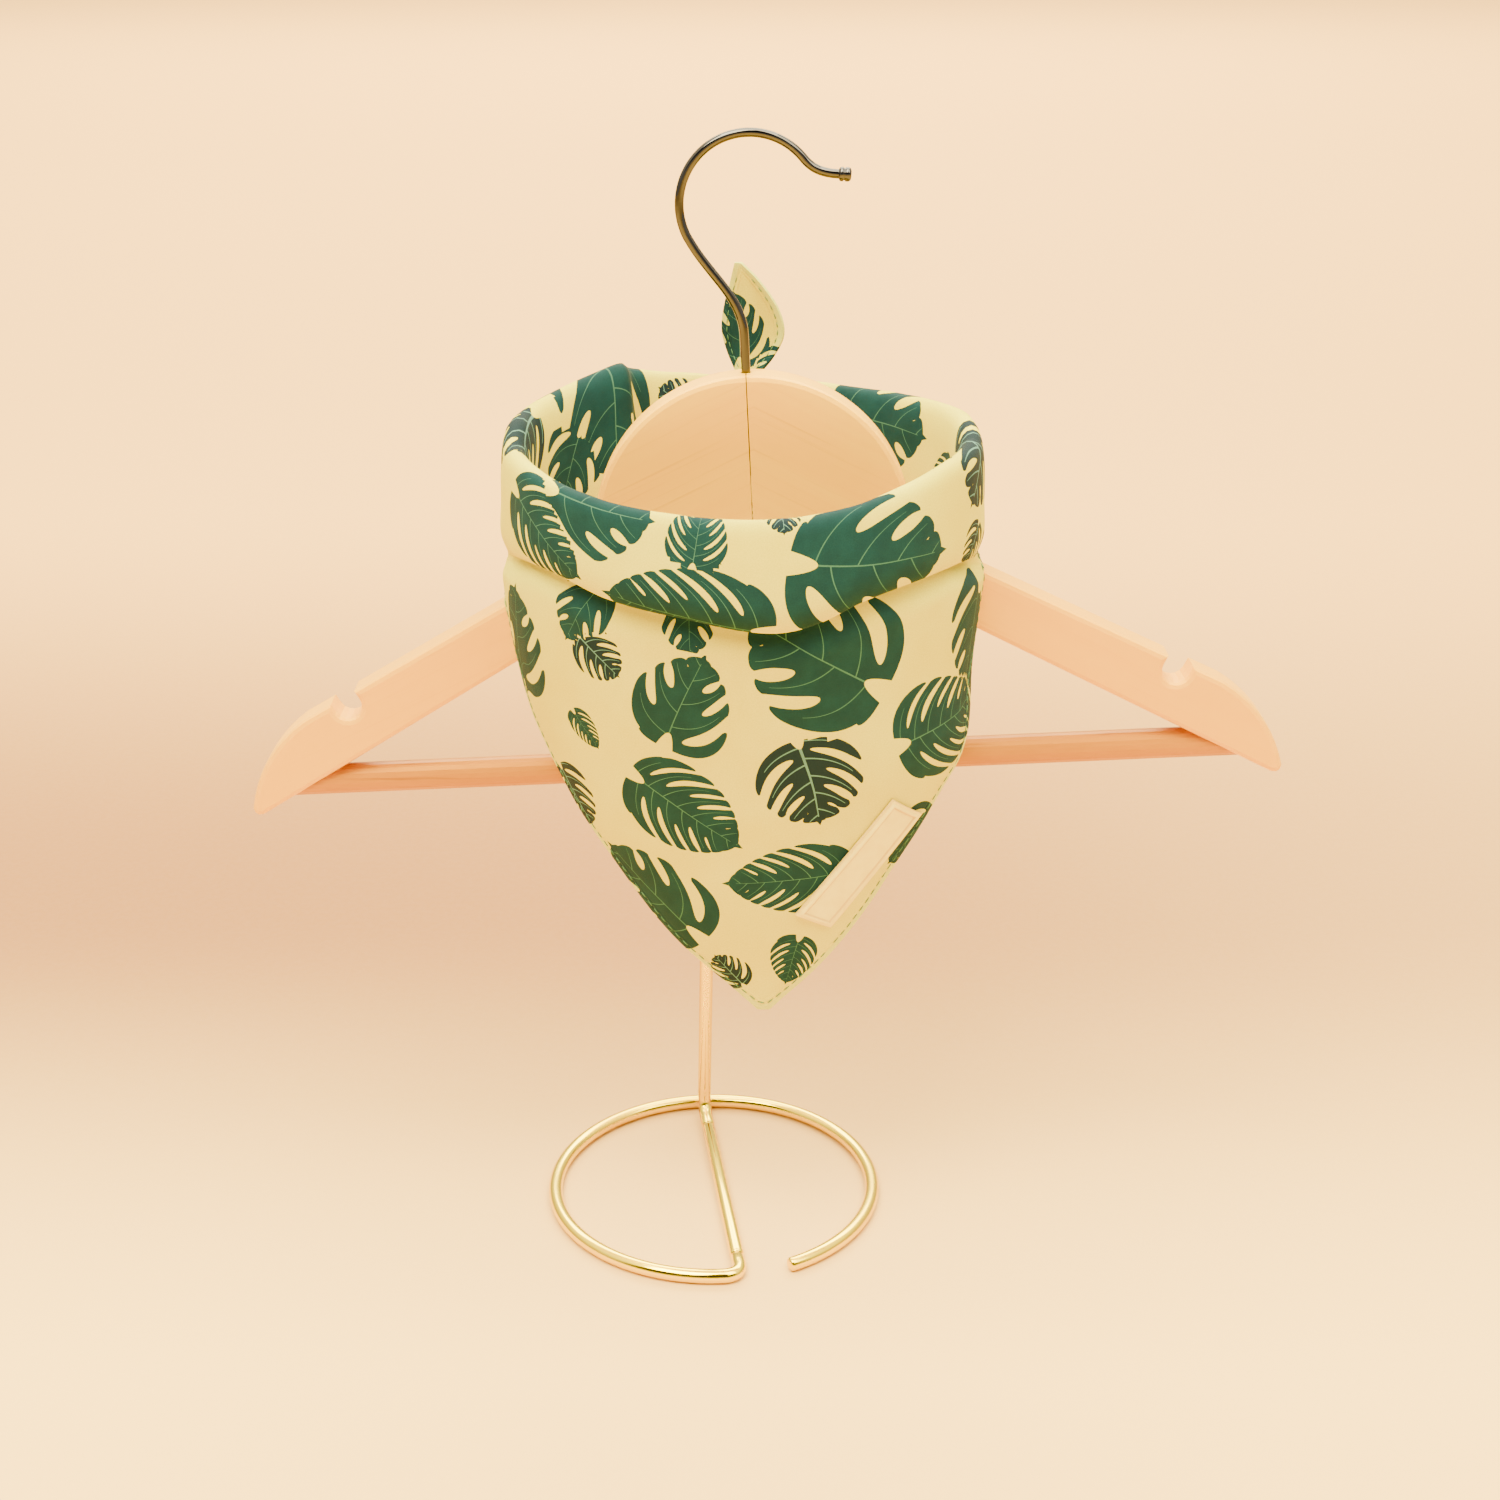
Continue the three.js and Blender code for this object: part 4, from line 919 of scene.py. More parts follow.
    def back_line(self, side: int, turn: float) -> list[list[Vector]]:
        """The cloth's line on the way to the knot, in the same four stretches."""
        table = self.back_left if side < 0 else self.back_right
        rim, crease, foot, flare, drop, back, puff = (
            column(table, name, turn) for name in ("rim", "crease", "foot", "flare", "drop", "back", "puff")
        )
        valley = smoothstep(turn, 84, 130)
        profile = [
            (self.inner, rim - drop), (self.inner + 1.3, rim - drop * 0.5), (-3.9, rim - 5),
            (-2.2, rim - 0.9), (0, rim), (2, rim - 1.4), (3.1, rim - 8), (3.4, (rim + crease) / 2),
            (3.4, crease + 5), (lerp(1.9, 3, valley), crease),
            (lerp(2.6, 2.8, valley), lerp(crease, foot, 0.5)), (flare, foot),
        ]
        steps = 10
        dense = spline([Vector((out, z, 0.0)) for out, z in profile], steps)
        gather = smoothstep(turn, 128, self.back_ends)
        last = len(dense) - 1
        line = []
        for k, spot in enumerate(dense):
            v = k / last
            wave = 1.1 * gather * smoothstep(v, 0.5, 0.6) * math.sin(8 * math.pi * (v - 0.5))
            line.append(self.loop_point(side * turn, spot.x * puff + back + wave, spot.y))
        rim_at, crease_at = 4 * steps, 9 * steps
        return [
            line[: rim_at + 1],
            line[rim_at : crease_at + 1],
            line[crease_at : crease_at + 5],
            line[crease_at + 4 :],
        ]

    def spaced(self, line: list[list[Vector]]) -> list[Vector]:
        """The points of a column of the mesh, evenly spaced in each of its stretches."""
        made: list[Vector] = []
        for stretch, count in zip(line, self.row_counts):
            made = made[:-1] + resample(stretch, count)
        return made

    def column_at(self, turn: float) -> list[Vector]:
        """A column of the mesh at any turn."""
        side = -1 if turn < 0 else 1
        size = abs(turn)
        if size <= self.hem_turn:
            return self.spaced(self.front_line(turn))
        if size >= self.back_starts:
            return self.spaced(self.back_line(side, size))
        share = (size - self.hem_turn) / (self.back_starts - self.hem_turn)
        near = self.spaced(self.front_line(side * self.hem_turn))
        far = self.spaced(self.back_line(side, self.back_starts))
        return [a.lerp(b, share) for a, b in zip(near, far)]

    def turns(self) -> list[float]:
        """The turns of the mesh's columns, from the left end round the front to the right end."""
        front = [k * self.hem_turn / 68 for k in range(69)]
        joint = [self.hem_turn + 0.38 * k for k in (1, 2)]
        steps = 72
        back = [lerp(self.back_starts, self.back_ends, k / steps) for k in range(steps + 1)]
        half = [*front, *joint, *back]
        return [-t for t in reversed(half[1:])] + half

    @staticmethod
    def arc_length(turn: float, wide: float, deep: float) -> float:
        """Length round an ellipse from its front, with its half width and half depth."""
        steps = 12
        total = 0.0
        for k in range(steps):
            angle = math.radians(turn) * (k + 0.5) / steps
            total += math.hypot(wide * math.cos(angle), deep * math.sin(angle))
        return total * math.radians(turn) / steps

    def flat_column(self, turn: float, line: list[Vector]) -> list[Vector]:
        """Where a column's points lie on the flat cloth: across from the middle, and down from the rim."""
        a, b, c, _ = self.row_counts
        lengths = [0.0]
        for p, q in zip(line, line[1:]):
            lengths.append(lengths[-1] + (q - p).length)
        rim = lengths[a]
        hang = a + b + c
        opened = smoothstep(abs(turn), 66, 84)
        girth = (self.across + 3, self.forward + 3)
        rolled = self.arc_length(turn, *girth)
        front_rolled = self.arc_length(min(abs(turn), self.hem_turn), *girth)
        down_start = lerp(self.flat_height - line[hang].z, lengths[hang] - rim, opened)
        made = []
        for j, point in enumerate(line):
            if j < hang:
                made.append(Vector((rolled, lengths[j] - rim)))
                continue
            size = min(abs(turn), self.hem_turn)
            z = point.z if abs(turn) <= self.hem_turn else max(point.z, self.back_hem)
            curl = math.radians(self.panel_value("wrap", z))
            hem = self.panel_value("left_edge" if turn < 0 else "right_edge", z)
            wide = (self.panel_value("right", z) - self.panel_value("left", z)) / 2 / math.sin(curl)
            deep = (hem - self.panel_value("front", z)) / (1 - math.cos(curl))
            hung = math.copysign(self.arc_length(size, wide, deep), turn)
            if abs(turn) > self.hem_turn:
                hung += rolled - math.copysign(front_rolled, turn)
            made.append(Vector((hung, down_start + line[hang].z - point.z)))
        return made

    def measure_hem(
        self,
        bm: bmesh.types.BMesh,
        columns: Columns,
        flat: dict[bmesh.types.BMVert, Vector],
        hem_line: list[Vector],
    ) -> None:
        """Keeps at each point of the hanging cloth how far it is from the hem, on the flat.

        Args:
            bm: the cloth.
            columns: its points by column and row.
            flat: where each point is on the flat cloth.
            hem_line: the hem on the flat cloth.
        """
        steps = 8
        tree = KDTree(len(hem_line) * steps)
        for i, (p, q) in enumerate(zip(hem_line, hem_line[1:])):
            for k in range(steps):
                tree.insert(p.lerp(q, k / steps).to_3d(), i * steps + k)
        tree.balance()
        hem = bm.verts.layers.float["hem"]
        hang = sum(self.row_counts[:3])
        for line in columns:
            for vert in line[:hang]:
                vert[hem] = FAR_FROM_HEM
            for vert in line[hang:]:
                vert[hem] = min(tree.find(flat[vert].to_3d())[2], FAR_FROM_HEM)

    @staticmethod
    def unevenness(spot: Vector) -> float:
        """How far the cloth stands out at a spot, in soft dents a few centimetres wide."""
        broad = noise.noise(Vector((spot.x * 0.045, spot.y * 0.03, 3.1)))
        narrow = noise.noise(Vector((spot.x * 0.11, spot.y * 0.05, 7.7)))
        return 0.30 * broad + 0.16 * narrow

    def build(self) -> tuple[bpy.types.Object, Sheet, list[Vector]]:
        """Makes the cloth.

        Returns:
            The piece, its sheet for what is sewn on, and its hem on the flat cloth.
        """
        turns = self.turns()
        lines = [self.column_at(turn) for turn in turns]
        layout = [self.flat_column(turn, line) for turn, line in zip(turns, lines)]
        bm, columns = shaped_grid(len(turns) - 1, sum(self.row_counts), lambda i, j: lines[i][j])
        flat = {vert: layout[i][j] for i, line in enumerate(columns) for j, vert in enumerate(line)}
        hem_line = [spots[-1] for spots in layout]
        self.measure_hem(bm, columns, flat, hem_line)
        shifts = {vert: vert.normal * self.unevenness(spot) for vert, spot in flat.items()}
        for vert, shift in shifts.items():
            vert.co += shift
        bm.normal_update()
        print_cloth(bm, flat, self.leaves)
        sheet = Sheet(bm, flat)
        nodes = ("bandana_front", "bandana_collar", "bandana_back_left", "bandana_back_right")
        piece = finish_piece(bm, "bandana_cloth", COTTON, Slot.CLOTH, *nodes)
        give_thickness(piece, self.thickness, 0.35)
        return piece, sheet, hem_line


PANEL_LEAVES = [
    Leaf(35.7, 17.1, 48.0, 78, LeafKind.SPLIT, 0.95),
    Leaf(-43.6, 2.5, 36.0, 89, LeafKind.SPLIT),
    Leaf(-12.0, 5.0, 21.0, 173, LeafKind.SLOTTED, 1.1),
    Leaf(-61.2, 15.0, 33.0, 62, LeafKind.SLOTTED),
    Leaf(11.7, -3.0, 14.0, -2, LeafKind.RAGGED),
    Leaf(-14.0, 28.5, 46.0, -99, LeafKind.SLOTTED, 0.9),
    Leaf(77.0, 27.0, 14.0, -40, LeafKind.RAGGED),
    Leaf(-101.0, -4.0, 33.0, 95, LeafKind.RAGGED),
    Leaf(87.0, 2.0, 34.0, -42, LeafKind.RAGGED),
    Leaf(-146.0, -11.0, 44.0, 178, LeafKind.SPLIT),
    Leaf(-128.5, -23.5, 25.0, 150, LeafKind.SPLIT, 1.2),
    Leaf(146.0, -10.0, 40.0, -95, LeafKind.SPLIT),
    Leaf(-47.5, 52.0, 22.0, -30, LeafKind.SPLIT),
    Leaf(22.0, 64.0, 46.0, -122, LeafKind.SPLIT, 1.1),
    Leaf(-79.0, 69.0, 34.0, 170, LeafKind.SPLIT, 1.1),
    Leaf(-42.7, 65.0, 17.0, 50, LeafKind.RAGGED),
    Leaf(-50.0, 90.0, 13.3, 33, LeafKind.SLOTTED),
    Leaf(-17.6, 77.1, 32.0, 155, LeafKind.SPLIT, 1.05),
    Leaf(16.7, 102.1, 27.8, 11, LeafKind.RAGGED, 1.25),
    Leaf(62.0, 91.0, 38.0, 100, LeafKind.SLOTTED, 1.15),
    Leaf(-20.7, 112.2, 38.8, 56, LeafKind.SLOTTED),
    Leaf(-60.8, 116.6, 22.0, 35, LeafKind.RAGGED),
    Leaf(-31.8, 145.1, 41.0, -132, LeafKind.SPLIT, 0.9),
    Leaf(11.6, 135.5, 38.7, -87, LeafKind.SLOTTED, 0.85),
    Leaf(-9.6, 169.3, 13.2, -143, LeafKind.RAGGED, 1.1),
    Leaf(9.8, 164.4, 18.5, -19, LeafKind.SLOTTED, 1.05),
    Leaf(80.0, 66.0, 34.0, -12, LeafKind.SPLIT),
    Leaf(52.0, 128.0, 23.0, -50, LeafKind.SPLIT),
    Leaf(-15.5, 52.0, 20.0, 5, LeafKind.SPLIT),
    Leaf(-128.0, 17.0, 38.0, 60, LeafKind.SPLIT),
    Leaf(-100.0, 36.0, 20.0, -30, LeafKind.SLOTTED),
    Leaf(-164.0, 14.0, 34.0, 100, LeafKind.SLOTTED),
    Leaf(-147.0, 38.0, 20.0, 20, LeafKind.RAGGED),
    Leaf(118.0, 17.0, 38.0, -70, LeafKind.SLOTTED),
    Leaf(155.0, 17.0, 36.0, 95, LeafKind.SPLIT),
    Leaf(96.0, 33.0, 20.0, 40, LeafKind.SPLIT),
    Leaf(-70.0, -19.0, 34.0, 110, LeafKind.SLOTTED),
    Leaf(-30.0, -20.0, 30.0, 60, LeafKind.SPLIT),
    Leaf(6.0, -22.0, 22.0, 120, LeafKind.RAGGED),
    Leaf(45.0, -18.0, 40.0, 80, LeafKind.SPLIT),
    Leaf(112.0, -22.0, 22.0, 120, LeafKind.SLOTTED),
    Leaf(178.0, -8.0, 20.0, 60, LeafKind.RAGGED),
    Leaf(-176.0, -10.0, 18.0, 60, LeafKind.RAGGED),
]


@dataclass
class Stitching:
    """Rows of thread that show as short stitches on both faces of a cloth."""

    sheet: Sheet
    thickness: float
    inset: float = 2.2
    stitch: float = 2.5
    pitch: float = 3.3
    thread: float = 0.42

    def inset_line(self, edge: Sequence[Vector]) -> list[Vector]:
        """The line on the flat cloth that keeps its distance inside an edge."""
        dense = resample([p.to_3d() for p in edge], max(len(edge) * 2, 240))
        tree = KDTree(len(dense))
        for i, spot in enumerate(dense):
            tree.insert(spot, i)
        tree.balance()
        made = []
        for before, spot, after in zip(dense, dense[1:], dense[2:]):
            way = (after - before).normalized()
            moved = spot + Vector((way.y, -way.x, 0.0)) * self.inset
            if tree.find(moved)[2] > self.inset * 0.97:
                made.append(moved.xy)
        return made

    def build(self, name: str, lines: Sequence[Sequence[Vector]]) -> bpy.types.Object:
        """Sews along lines on the flat cloth.

        Args:
            name: the piece's name.
            lines: where the rows run.

        Returns:
            The piece.
        """
        bm = bmesh.new()
        for line in lines:
            spots = [Vector(p).to_3d() for p in line]
            length = sum((b - a).length for a, b in zip(spots, spots[1:]))
            even = resample(spots, max(int(length / self.pitch), 2))
            for a, b in zip(even, even[1:]):
                self.sew(bm, a.xy, a.lerp(b, self.stitch / self.pitch).xy)
        return finish_piece(bm, name, THREAD, Slot.CLOTH)

    def sew(self, bm: bmesh.types.BMesh, start: Vector, end: Vector) -> None:
        """Adds one stitch, on each face."""
        first, last = self.sheet.point(start), self.sheet.point(end)
        middle = self.sheet.point((start + end) / 2)
        beside = self.sheet.point((start + end) / 2 + Vector((0.4, -0.4)))
        along = (last - first).normalized()
        out = along.cross(beside - middle).normalized()
        if along.length < 0.5 or out.length < 0.5:
            return
        across = out.cross(along)
        turn = Matrix((along, across, out)).transposed().to_4x4()
        size = Matrix.Diagonal((self.stitch / 2, self.thread / 2, self.thread / 2, 1.0))
        for face in (1, -1):
            place = Matrix.Translation(middle + out * face * (self.thickness / 2 + 0.04))
            shape = place @ turn @ size
            bmesh.ops.create_uvsphere(bm, u_segments=6, v_segments=5, radius=1.0, matrix=shape)


@dataclass
class Tail:
    """A free end of the knot: a pointed strip, curled lengthwise."""

    node: str
    flip: int
    table: list[Row]
    leaves: Sequence[Leaf]
    thickness: float = 0.9
    opened_out: float = 1.12
    inset: float = 1.9

    def flat_half(self, v: float) -> float:
        """Half the strip's width on the flat, at a share of its length."""
        return column(self.table, "half", v, "along") * self.opened_out

    def point(self, u: float, v: float) -> Vector:
        """A point of the strip, with u across it and v along it."""
        names = ("x", "y", "z", "half", "curl")
        x, y, z, half, curl = (column(self.table, name, v, "along") for name in names)
        across = (2 * u - 1) * self.flip
        return Vector((x + half * across, y - curl * across * abs(across) ** 0.6, z))

    def build(self) -> None:
        """Makes the strip and its stitching."""
        wide, long = 22, 46
        place = [[self.point(i / wide, j / long) for j in range(long + 1)] for i in range(wide + 1)]
        bm, columns = shaped_grid(wide, long, lambda i, j: place[i][j])
        length = sum((b - a).length for a, b in zip(place[wide // 2], place[wide // 2][1:]))
        flat = {}
        hem = bm.verts.layers.float["hem"]
        for i, line in enumerate(columns):
            for j, vert in enumerate(line):
                half = self.flat_half(j / long)
                flat[vert] = Vector(((2 * i / wide - 1) * half, length * j / long))
                vert[hem] = half * (1 - abs(2 * i / wide - 1))
        print_cloth(bm, flat, self.leaves)
        shares = [j / long for j in range(2, long - 4)]
        seam = [Vector((max(self.flat_half(v) - self.inset, 0.4), length * v)) for v in shares]
        edges = [[Vector((side * spot.x, spot.y)) for spot in seam] for side in (-1, 1)]
        sheet = Sheet(bm, flat)
        piece = finish_piece(bm, self.node + "_cloth", COTTON, Slot.CLOTH, self.node)
        give_thickness(piece, self.thickness, 0.3)
        stitching = Stitching(sheet, self.thickness, stitch=2.0, pitch=2.7, thread=0.36)
        thread = stitching.build(self.node + "_stitching", edges)


TAIL_COLUMNS = "along x y z half curl"
TAILS = [
    Tail(
        "bandana_tail_up",
        -1,
        rows(
            TAIL_COLUMNS,
            (0, -0.8, 56.0, 265.8, 3.6, 2.4), (0.2, 0.2, 57.0, 271.5, 7.2, 3.8),
            (0.42, 0.9, 56.8, 278.5, 9.6, 4.2), (0.65, 0.4, 56.2, 286.5, 8.2, 3.6),
            (0.85, -1.4, 55.6, 294.5, 4.4, 2.0), (1, -3.6, 55.2, 300.0, 1.0, 0.4),
        ),
        [Leaf(4.6, 14.0, 26.0, 8, LeafKind.SPLIT, 0.9), Leaf(-8.5, 3.0, 14.0, 150, LeafKind.SPLIT)],
    ),
    Tail(
        "bandana_tail_down",
        1,
        rows(
            TAIL_COLUMNS,
            (0, -0.4, 57.6, 243.0, 3.6, 2.6), (0.2, 1.8, 60.0, 237.0, 6.8, 3.8),
            (0.45, 5.0, 61.0, 228.5, 9.0, 4.0), (0.7, 7.4, 60.5, 219.0, 7.4, 3.2),
            (0.88, 9.2, 59.6, 211.0, 3.8, 1.6), (1, 10.4, 59.0, 205.5, 1.0, 0.4),
        ),
        [Leaf(1.5, 12.0, 18.0, 20, LeafKind.SLOTTED), Leaf(-3.0, 28.0, 10.0, -20, LeafKind.RAGGED)],
    ),
]


@dataclass
class Knot:
    """The knot: cloth wound round itself, with folds that run over it."""

    middle: tuple[float, float, float] = (-2.2, 54.5, 254.2)
    size: tuple[float, float, float] = (20.0, 15.4, 23.0)

    def build(self) -> bpy.types.Object:
        """Makes the knot."""
        bm = cloth_mesh()
        bmesh.ops.create_uvsphere(bm, u_segments=120, v_segments=72, radius=1.0)
        hem = bm.verts.layers.float["hem"]
        flat = {}
        for vert in bm.verts:
            x, y, lift = vert.co
            angle = math.atan2(y, x)
            girth = math.sqrt(max(1 - abs(lift) ** 3.0, 0.0))
            square = (abs(math.cos(angle)) ** 3 + abs(math.sin(angle)) ** 3) ** (-1 / 3)
            slant = lift * 1.35 + 0.55 * math.sin(angle + 0.6)
            band = smoothstep(abs(slant), 0.62, 0.50)
            folds = (0.5 + 0.5 * math.cos(11 * slant + 1.2 * math.sin(2 * angle))) ** 1.6
            gather = (0.5 + 0.5 * math.cos(11 * angle + 2.2 * lift)) ** 1.4
            reach = girth * square * lerp(0.88 - 0.075 * gather, 0.985 - 0.075 * folds, band)
            vert.co = Vector(self.middle) + Vector((
                self.size[0] / 2 * reach * math.cos(angle),
                self.size[1] / 2 * reach * math.sin(angle),
                self.size[2] / 2 * lift * (0.98 if girth else 1.0),
            ))
            flat[vert] = Vector((abs(angle) * 10.5, lift * 14.0))
            vert[hem] = FAR_FROM_HEM
        leaves = [Leaf(16.0, 2.0, 20.0, 70, LeafKind.SPLIT), Leaf(30.0, -6.0, 14.0, 10, LeafKind.SLOTTED)]
        print_cloth(bm, flat, leaves)
        every_way = dict(use_axis_x=True, use_axis_y=True, use_axis_z=True)
        bmesh.ops.smooth_vert(bm, verts=bm.verts, factor=0.5, **every_way)
        return finish_piece(bm, "bandana_knot_cloth", COTTON, Slot.CLOTH, "bandana_knot")


@dataclass
class Label:
    """The sewn-on label, left blank, with a raised frame near its edge."""

    bandana: Bandana
    upper: tuple[tuple[float, float], tuple[float, float]] = ((41.2, 160.7), (50.1, 152.5))
    lower: tuple[tuple[float, float], tuple[float, float]] = ((13.2, 124.6), (23.6, 118.3))
    thickness: float = 0.9
    out: float = 1.2
    frame: float = 1.4
    ridge: float = 0.35

    def point(self, u: float, v: float, out: float) -> Vector:
        """A point of the label, held off the hanging cloth."""
        (ax, az), (bx, bz), (cx, cz), (dx, dz) = (*self.upper, *self.lower)
        x = lerp(lerp(ax, bx, u), lerp(cx, dx, u), v)
        z = lerp(lerp(az, bz, u), lerp(cz, dz, u), v)
        left, right, wrap = (self.bandana.panel_value(name, z) for name in ("left", "right", "wrap"))
        share = (x - (left + right) / 2) / ((right - left) / 2)
        turn = math.degrees(math.asin(share * math.sin(math.radians(wrap))))
        point = self.bandana.panel_point(turn, z)
        sideways = self.bandana.panel_point(turn + 0.6, z) - self.bandana.panel_point(turn - 0.6, z)
        down = self.bandana.panel_point(turn, z - 0.5) - self.bandana.panel_point(turn, z + 0.5)
        return point + down.cross(sideways).normalized() * out

    def build(self) -> bpy.types.Object:
        """Makes the label."""
        wide, long = 48, 160
        width = (Vector(self.upper[1]) - Vector(self.upper[0])).length
        length = (Vector(self.lower[0]) - Vector(self.upper[0])).length

        def inside(i: int, j: int) -> float:
            """How far a point of the label is inside its edge."""
            u, v = i / wide, j / long
            return min(u * width, (1 - u) * width, v * length, (1 - v) * length)

        def place(i: int, j: int) -> Vector:
            """A point of the label's face, with its frame."""
            raised = smoothstep(abs(inside(i, j) - self.frame), 0.6, 0.2)
            return self.point(i / wide, j / long, self.out + self.ridge * raised)

        bm, columns = shaped_grid(wide, long, place)
        hem = bm.verts.layers.float["hem"]
        for i, line in enumerate(columns):
            for j, vert in enumerate(line):
                vert[hem] = inside(i, j)
        piece = finish_piece(bm, "bandana_label_blank", STOCK, Slot.LABEL, "bandana_label")
        give_thickness(piece, self.thickness, 0.3)
        return piece


def sweep(points: Sequence[Vector], radius: float, sides: int) -> bmesh.types.BMesh:
    """A round wire with softly rounded ends along a line, drawn out section by section.

    Args:
        points: the line, in millimetres.
        radius: the wire's radius.
        sides: how many sides its section has.

    Returns:
        The shape.
    """
    before, after = [points[0], *points[:-1]], [*points[1:], points[-1]]
    ways = [(b - a).normalized() for a, b in zip(before, after)]
    bm = bmesh.new()
    start = Matrix.Translation(points[0]) @ ways[0].to_track_quat("Z", "Y").to_matrix().to_4x4()
    bmesh.ops.create_circle(bm, segments=sides, radius=radius, matrix=start)
    ring = bm.edges[:]
    rims = [ring]
    for i in range(1, len(points)):
        made = bmesh.ops.extrude_edge_only(bm, edges=ring)["geom"]
        fresh = {g for g in made if isinstance(g, bmesh.types.BMVert)}
        ring = [g for g in made if isinstance(g, bmesh.types.BMEdge) and set(g.verts) <= fresh]
        turn = ways[i - 1].rotation_difference(ways[i]).to_matrix().to_4x4()
        move = Matrix.Translation(points[i]) @ turn @ Matrix.Translation(-points[i - 1])
        bmesh.ops.transform(bm, matrix=move, verts=list(fresh))
    rims.append(ring)
    for rim in rims:
        bmesh.ops.edgeloop_fill(bm, edges=rim)
    bmesh.ops.recalc_face_normals(bm, faces=bm.faces)
    edges = [edge for rim in rims for edge in rim]
    rounding = radius * 0.45
    bmesh.ops.bevel(bm, geom=edges, offset=rounding, segments=3, profile=0.5, affect="EDGES", material=-1)
    return bm


def arc(
    centre: Vector, right: Vector, top: Vector, radius: float, start: float, end: float, steps: int
) -> list[Vector]:
    """Points on an arc between two angles in degrees."""
    angles = [math.radians(lerp(start, end, k / steps)) for k in range(steps + 1)]
    return [centre + right * (radius * math.cos(a)) + top * (radius * math.sin(a)) for a in angles]


X, Y, Z = Vector((1, 0, 0)), Vector((0, 1, 0)), Vector((0, 0, 1))


@dataclass
class Stand:
    """Display stand of one bent wire: open ring, bar across it, upright and cradle."""

    wire: float = 4.6
    ring_radius: float = 53.0
    ring_centre: tuple[float, float] = (-12.1, 4.0)
    free_end: float = -62.5
    ring_bend: float = 274.0
    post_foot: tuple[float, float] = (-16.2, 51.4)
    post_lean: float = 4.0
    post_top: float = 196.0
    bend: float = 6.0
    cradle: tuple[float, float, float] = (1.1, -4.3, 226.6)
    lip: float = 4.4
    rise: float = 1.4
    ring_reach: float = 4.0
    bar_stop: float = 12.0
    seam: float = 0.3

    def on_floor(self, x: float, y: float) -> Vector:
        """The middle of the wire where it lies on the floor."""
        return Vector((x, y, self.wire / 2))

    @staticmethod
    def rounded(start: Vector, corner: Vector, end: Vector, count: int) -> list[Vector]:
        """Points on a rounded way from start to end past a corner."""
        handles = [(tip + corner * 2) / 3 for tip in (start, end)]
        return geometry.interpolate_bezier(start, *handles, end, count)

    def build(self) -> None:
        """Makes the ring, the bar and the upright."""
        cx, cy = self.ring_centre
        turned = self.on_floor(cx + 8.6, cy - 46.4)
        foot = self.on_floor(*self.post_foot)
        way = (foot - turned).normalized()
        ring = arc(self.on_floor(cx, cy), X, Y, self.ring_radius, self.free_end, self.ring_bend, 150)
        corner = ring[-1] + Vector((5.6, 0.5, 0))
        bend = self.rounded(ring[-1], corner, turned, 18)
        self.piece("stand_ring", [*ring, *bend[1:], turned + way * self.ring_reach])
        bar = (turned + way * (self.ring_reach + self.seam), foot - way * self.bar_stop)
        self.piece("stand_crossbar", [bar[0], turned.lerp(foot, 0.5), bar[1]])

        elbow, rise = foot - way * self.bend, foot + Z * self.bend
        turn = self.rounded(elbow, foot, rise, 14)
        top = Vector((self.post_foot[0] + self.post_lean, self.post_foot[1], self.post_top))
        cradle = Vector(self.cradle)
        over, under = top + Vector((0.4, 0, 19)), cradle + Vector((-6, 50, 0))
        crown = geometry.interpolate_bezier(top, over, under, cradle + Y * 20, 40)
        lip = arc(cradle + Z * self.lip, Y, Z, self.lip, -90, -180, 14)
        post = [foot - way * (self.bar_stop - self.seam), *turn, *resample([rise, top], 12)[1:-1]]
        self.piece("stand_post", [*post, *crown, *lip, lip[-1] + Z * self.rise])

    def piece(self, node: str, points: list[Vector]) -> None:
        """Makes one length of wire in place of its CAD node."""
        finish_piece(sweep(points, self.wire / 2, 28), node + "_wire", BRASS, Slot.GOLD, node)


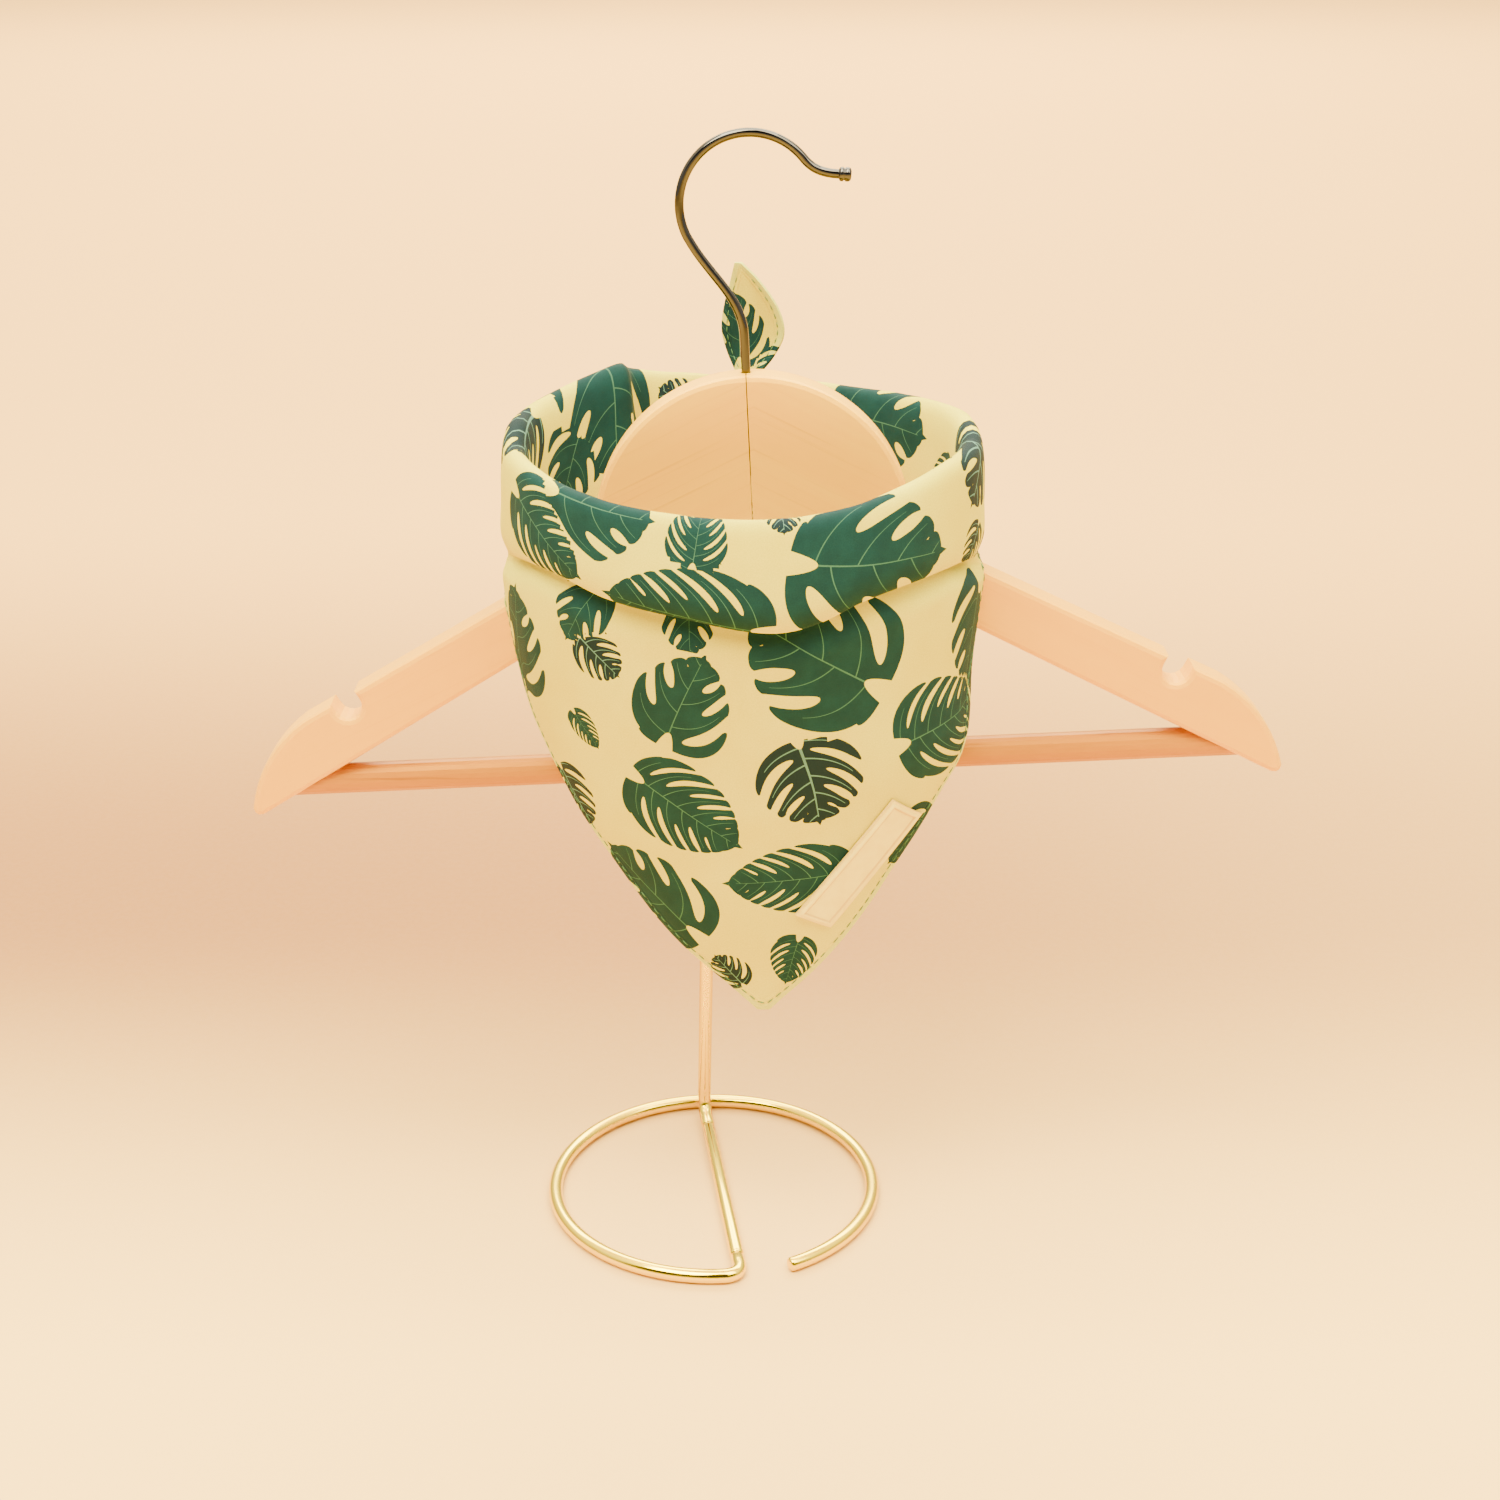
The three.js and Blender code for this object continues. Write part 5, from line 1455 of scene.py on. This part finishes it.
@dataclass
class Hook:
    """The plated hook: shank, sweep to the left, round crook and a knob on its turned-out end."""

    wire: float = 2.6
    head: tuple[float, float, float] = (1.0, 0.0, 231.2)
    roll: float = 2.65
    head_radius: float = 46.8
    sink: float = 26.0
    crook: tuple[float, float, float] = (3.2, 0.0, 94.0)
    crook_radius: float = 19.7
    crook_from: float = 203.0
    crook_to: float = 36.0
    knob: float = 4.0
    knob_length: float = 3.6
    knob_place: tuple[float, float, float] = (28.4, 0.0, 101.3)
    knob_tilt: float = 96.0

    def build(self) -> None:
        """Makes the wire and its knob as one piece."""
        def spot(x: float, z: float) -> Vector:
            """A point in the hanger's plane."""
            return Vector((x, 0.0, z))

        crook = arc(Vector(self.crook), X, Z, self.crook_radius, self.crook_from, self.crook_to, 60)
        rise = geometry.interpolate_bezier(spot(0, 58), spot(-0.4, 69), spot(-9.5, 75), crook[0], 26)
        out = (spot(21.6, 102.6), spot(24.6, 101.6), spot(29.2, 101.2))
        end = geometry.interpolate_bezier(crook[-1], *out, 14)
        shank = [spot(0, self.head_radius - self.sink), spot(0, self.head_radius + 2), spot(0, 53)]
        bm = sweep([*shank, *rise, *crook[1:], *end[1:]], self.wire / 2, 24)
        self.add_knob(bm)
        hung = Matrix.Translation(self.head) @ Matrix.Rotation(-math.radians(self.roll), 4, "Y")
        bm.transform(hung)
        finish_piece(bm, "hanger_hook_plated", CHROME, Slot.PLATED, "hanger_hook")

    def add_knob(self, bm: bmesh.types.BMesh) -> None:
        """Turns the grooved knob on the wire's end."""
        wire = set(bm.verts)
        radius, length = self.knob / 2, self.knob_length
        outline = [
            (0, 0), (0.62, 0), (0.92, 0.10), (1, 0.2), (1, 0.36), (0.84, 0.42),
            (0.84, 0.50), (1, 0.56), (1, 0.78), (0.88, 0.92), (0.6, 1), (0, 1),
        ]
        places = [(radius * out, 0, length * along) for out, along in outline]
        verts = [bmesh.ops.create_vert(bm, co=place)["vert"][0] for place in places]
        edges = [bm.edges.new(pair) for pair in zip(verts, verts[1:])]
        turned = dict(cent=(0, 0, 0), axis=Z, angle=2 * math.pi, steps=28, use_merge=True)
        bmesh.ops.spin(bm, geom=[*verts, *edges], **turned)
        knob = [vert for vert in bm.verts if vert not in wire]
        tilt = Matrix.Rotation(math.radians(self.knob_tilt), 4, "Y")
        bmesh.ops.transform(bm, matrix=Matrix.Translation(self.knob_place) @ tilt, verts=knob)
        bmesh.ops.remove_doubles(bm, verts=knob, dist=1e-4)
        bmesh.ops.recalc_face_normals(bm, faces=bm.faces)


@dataclass
class Studio:
    """Camera at the photograph's place, soft lights and a pale paper floor."""

    eye: tuple[float, float, float] = (-0.004745, -0.636857, 0.4155)
    pitch: float = 21.9
    lens: float = 53.28
    sensor: float = 36.0
    lamp_colour: tuple[float, float, float] = (1.0, 0.89, 0.62)
    low_sky: Colour = (1.0, 0.87, 0.60, 1)
    high_sky: Colour = (3.5, 3.05, 2.1, 1)
    dark_wall: Colour = (0.05, 0.04, 0.03, 1)
    floor_half: float = 12.0

    def build(self) -> None:
        """Sets the scene up."""
        self.add_camera()
        self.add_room()
        self.add_light("key", (-0.5, -0.8, 1.7), 1.0, 78.0)
        self.add_light("fill", (0.8, -0.7, 1.5), 1.0, 31.0)
        self.add_light("top", (0.0, -0.05, 1.9), 1.5, 76.0)
        self.add_light("back", (0.0, 3.4, 3.0), 4.0, 760.0, (0.0, 4.4, 0.0))
        self.add_floor()

    def add_camera(self) -> None:
        """Puts the camera where the photograph was taken from."""
        camera = bpy.data.cameras.new("camera")
        camera.lens, camera.sensor_width = self.lens, self.sensor
        holder = bpy.data.objects.new("camera", camera)
        holder.location = self.eye
        holder.rotation_euler = (math.radians(90 - self.pitch), 0.0, 0.0)
        bpy.context.scene.collection.objects.link(holder)
        bpy.context.scene.camera = holder

    def add_room(self) -> None:
        """Lights the scene from all round, brighter above, with a dark wall behind the camera."""
        world = bpy.data.worlds.new("soft room")
        world.use_nodes = True
        nodes, ground = Nodes(world.node_tree), world.node_tree.nodes["Background"]
        way = nodes.add("SeparateXYZ", {0: nodes.add("TexCoord").outputs["Generated"]})
        dome = nodes.mix(nodes.ramp(way.outputs[2], 0.05, 0.9), self.low_sky, self.high_sky)
        near, above = nodes.ramp(way.outputs[1], -0.35, -0.6), nodes.ramp(way.outputs[2], 0.15, 0.3)
        wall = nodes.math("MULTIPLY", near, above)
        nodes.put(ground.inputs[0], nodes.mix(wall, dome, self.dark_wall))
        bpy.context.scene.world = world

    def add_floor(self) -> None:
        """Lays the paper floor."""
        bm = bmesh.new()
        bmesh.ops.create_grid(bm, x_segments=4, y_segments=4, size=self.floor_half)
        mesh = bpy.data.meshes.new("floor")
        bm.to_mesh(mesh)
        bm.free()
        mesh.materials.append(PAPER.made())
        floor = bpy.data.objects.new("floor", mesh)
        bpy.context.scene.collection.objects.link(floor)

    def add_light(
        self,
        name: str,
        place: Sequence[float],
        size: float,
        power: float,
        aim: Sequence[float] = (0.0, 0.0, 0.2),
    ) -> None:
        """Adds a soft square light that faces the middle of the object, or another aim."""
        lamp = bpy.data.lights.new(name, "AREA")
        lamp.size, lamp.energy = size, power
        lamp.color = self.lamp_colour
        holder = bpy.data.objects.new(name, lamp)
        holder.location = place
        holder.rotation_euler = (Vector(aim) - Vector(place)).to_track_quat("-Z", "Y").to_euler()
        bpy.context.scene.collection.objects.link(holder)


def main() -> None:
    """Builds the scene piece by piece."""
    Studio().build()
    bandana = Bandana(leaves=PANEL_LEAVES)
    cloth, sheet, hem_line = bandana.build()
    stitching = Stitching(sheet, bandana.thickness)
    hem_thread = stitching.build("bandana_hem_stitching", [stitching.inset_line(hem_line)])
    label = Label(bandana).build()
    log.info("cloth on the flat: %.3f by %.3f m, %.4f square metres", *sheet.size, sheet.area)
    Knot().build()
    for tail in TAILS:
        tail.build()
    Stand().build()
    Hook().build()
    nodes = frame["nodes"]
    dress = {"hanger_left": BEECH, "hanger_right": BEECH, "hanger_bar": BAR_WOOD}
    for name, finish in dress.items():
        nodes[name].material_slots[0].material = finish.made()


if __name__ == "__main__":
    logging.basicConfig(level=logging.INFO)
    main()
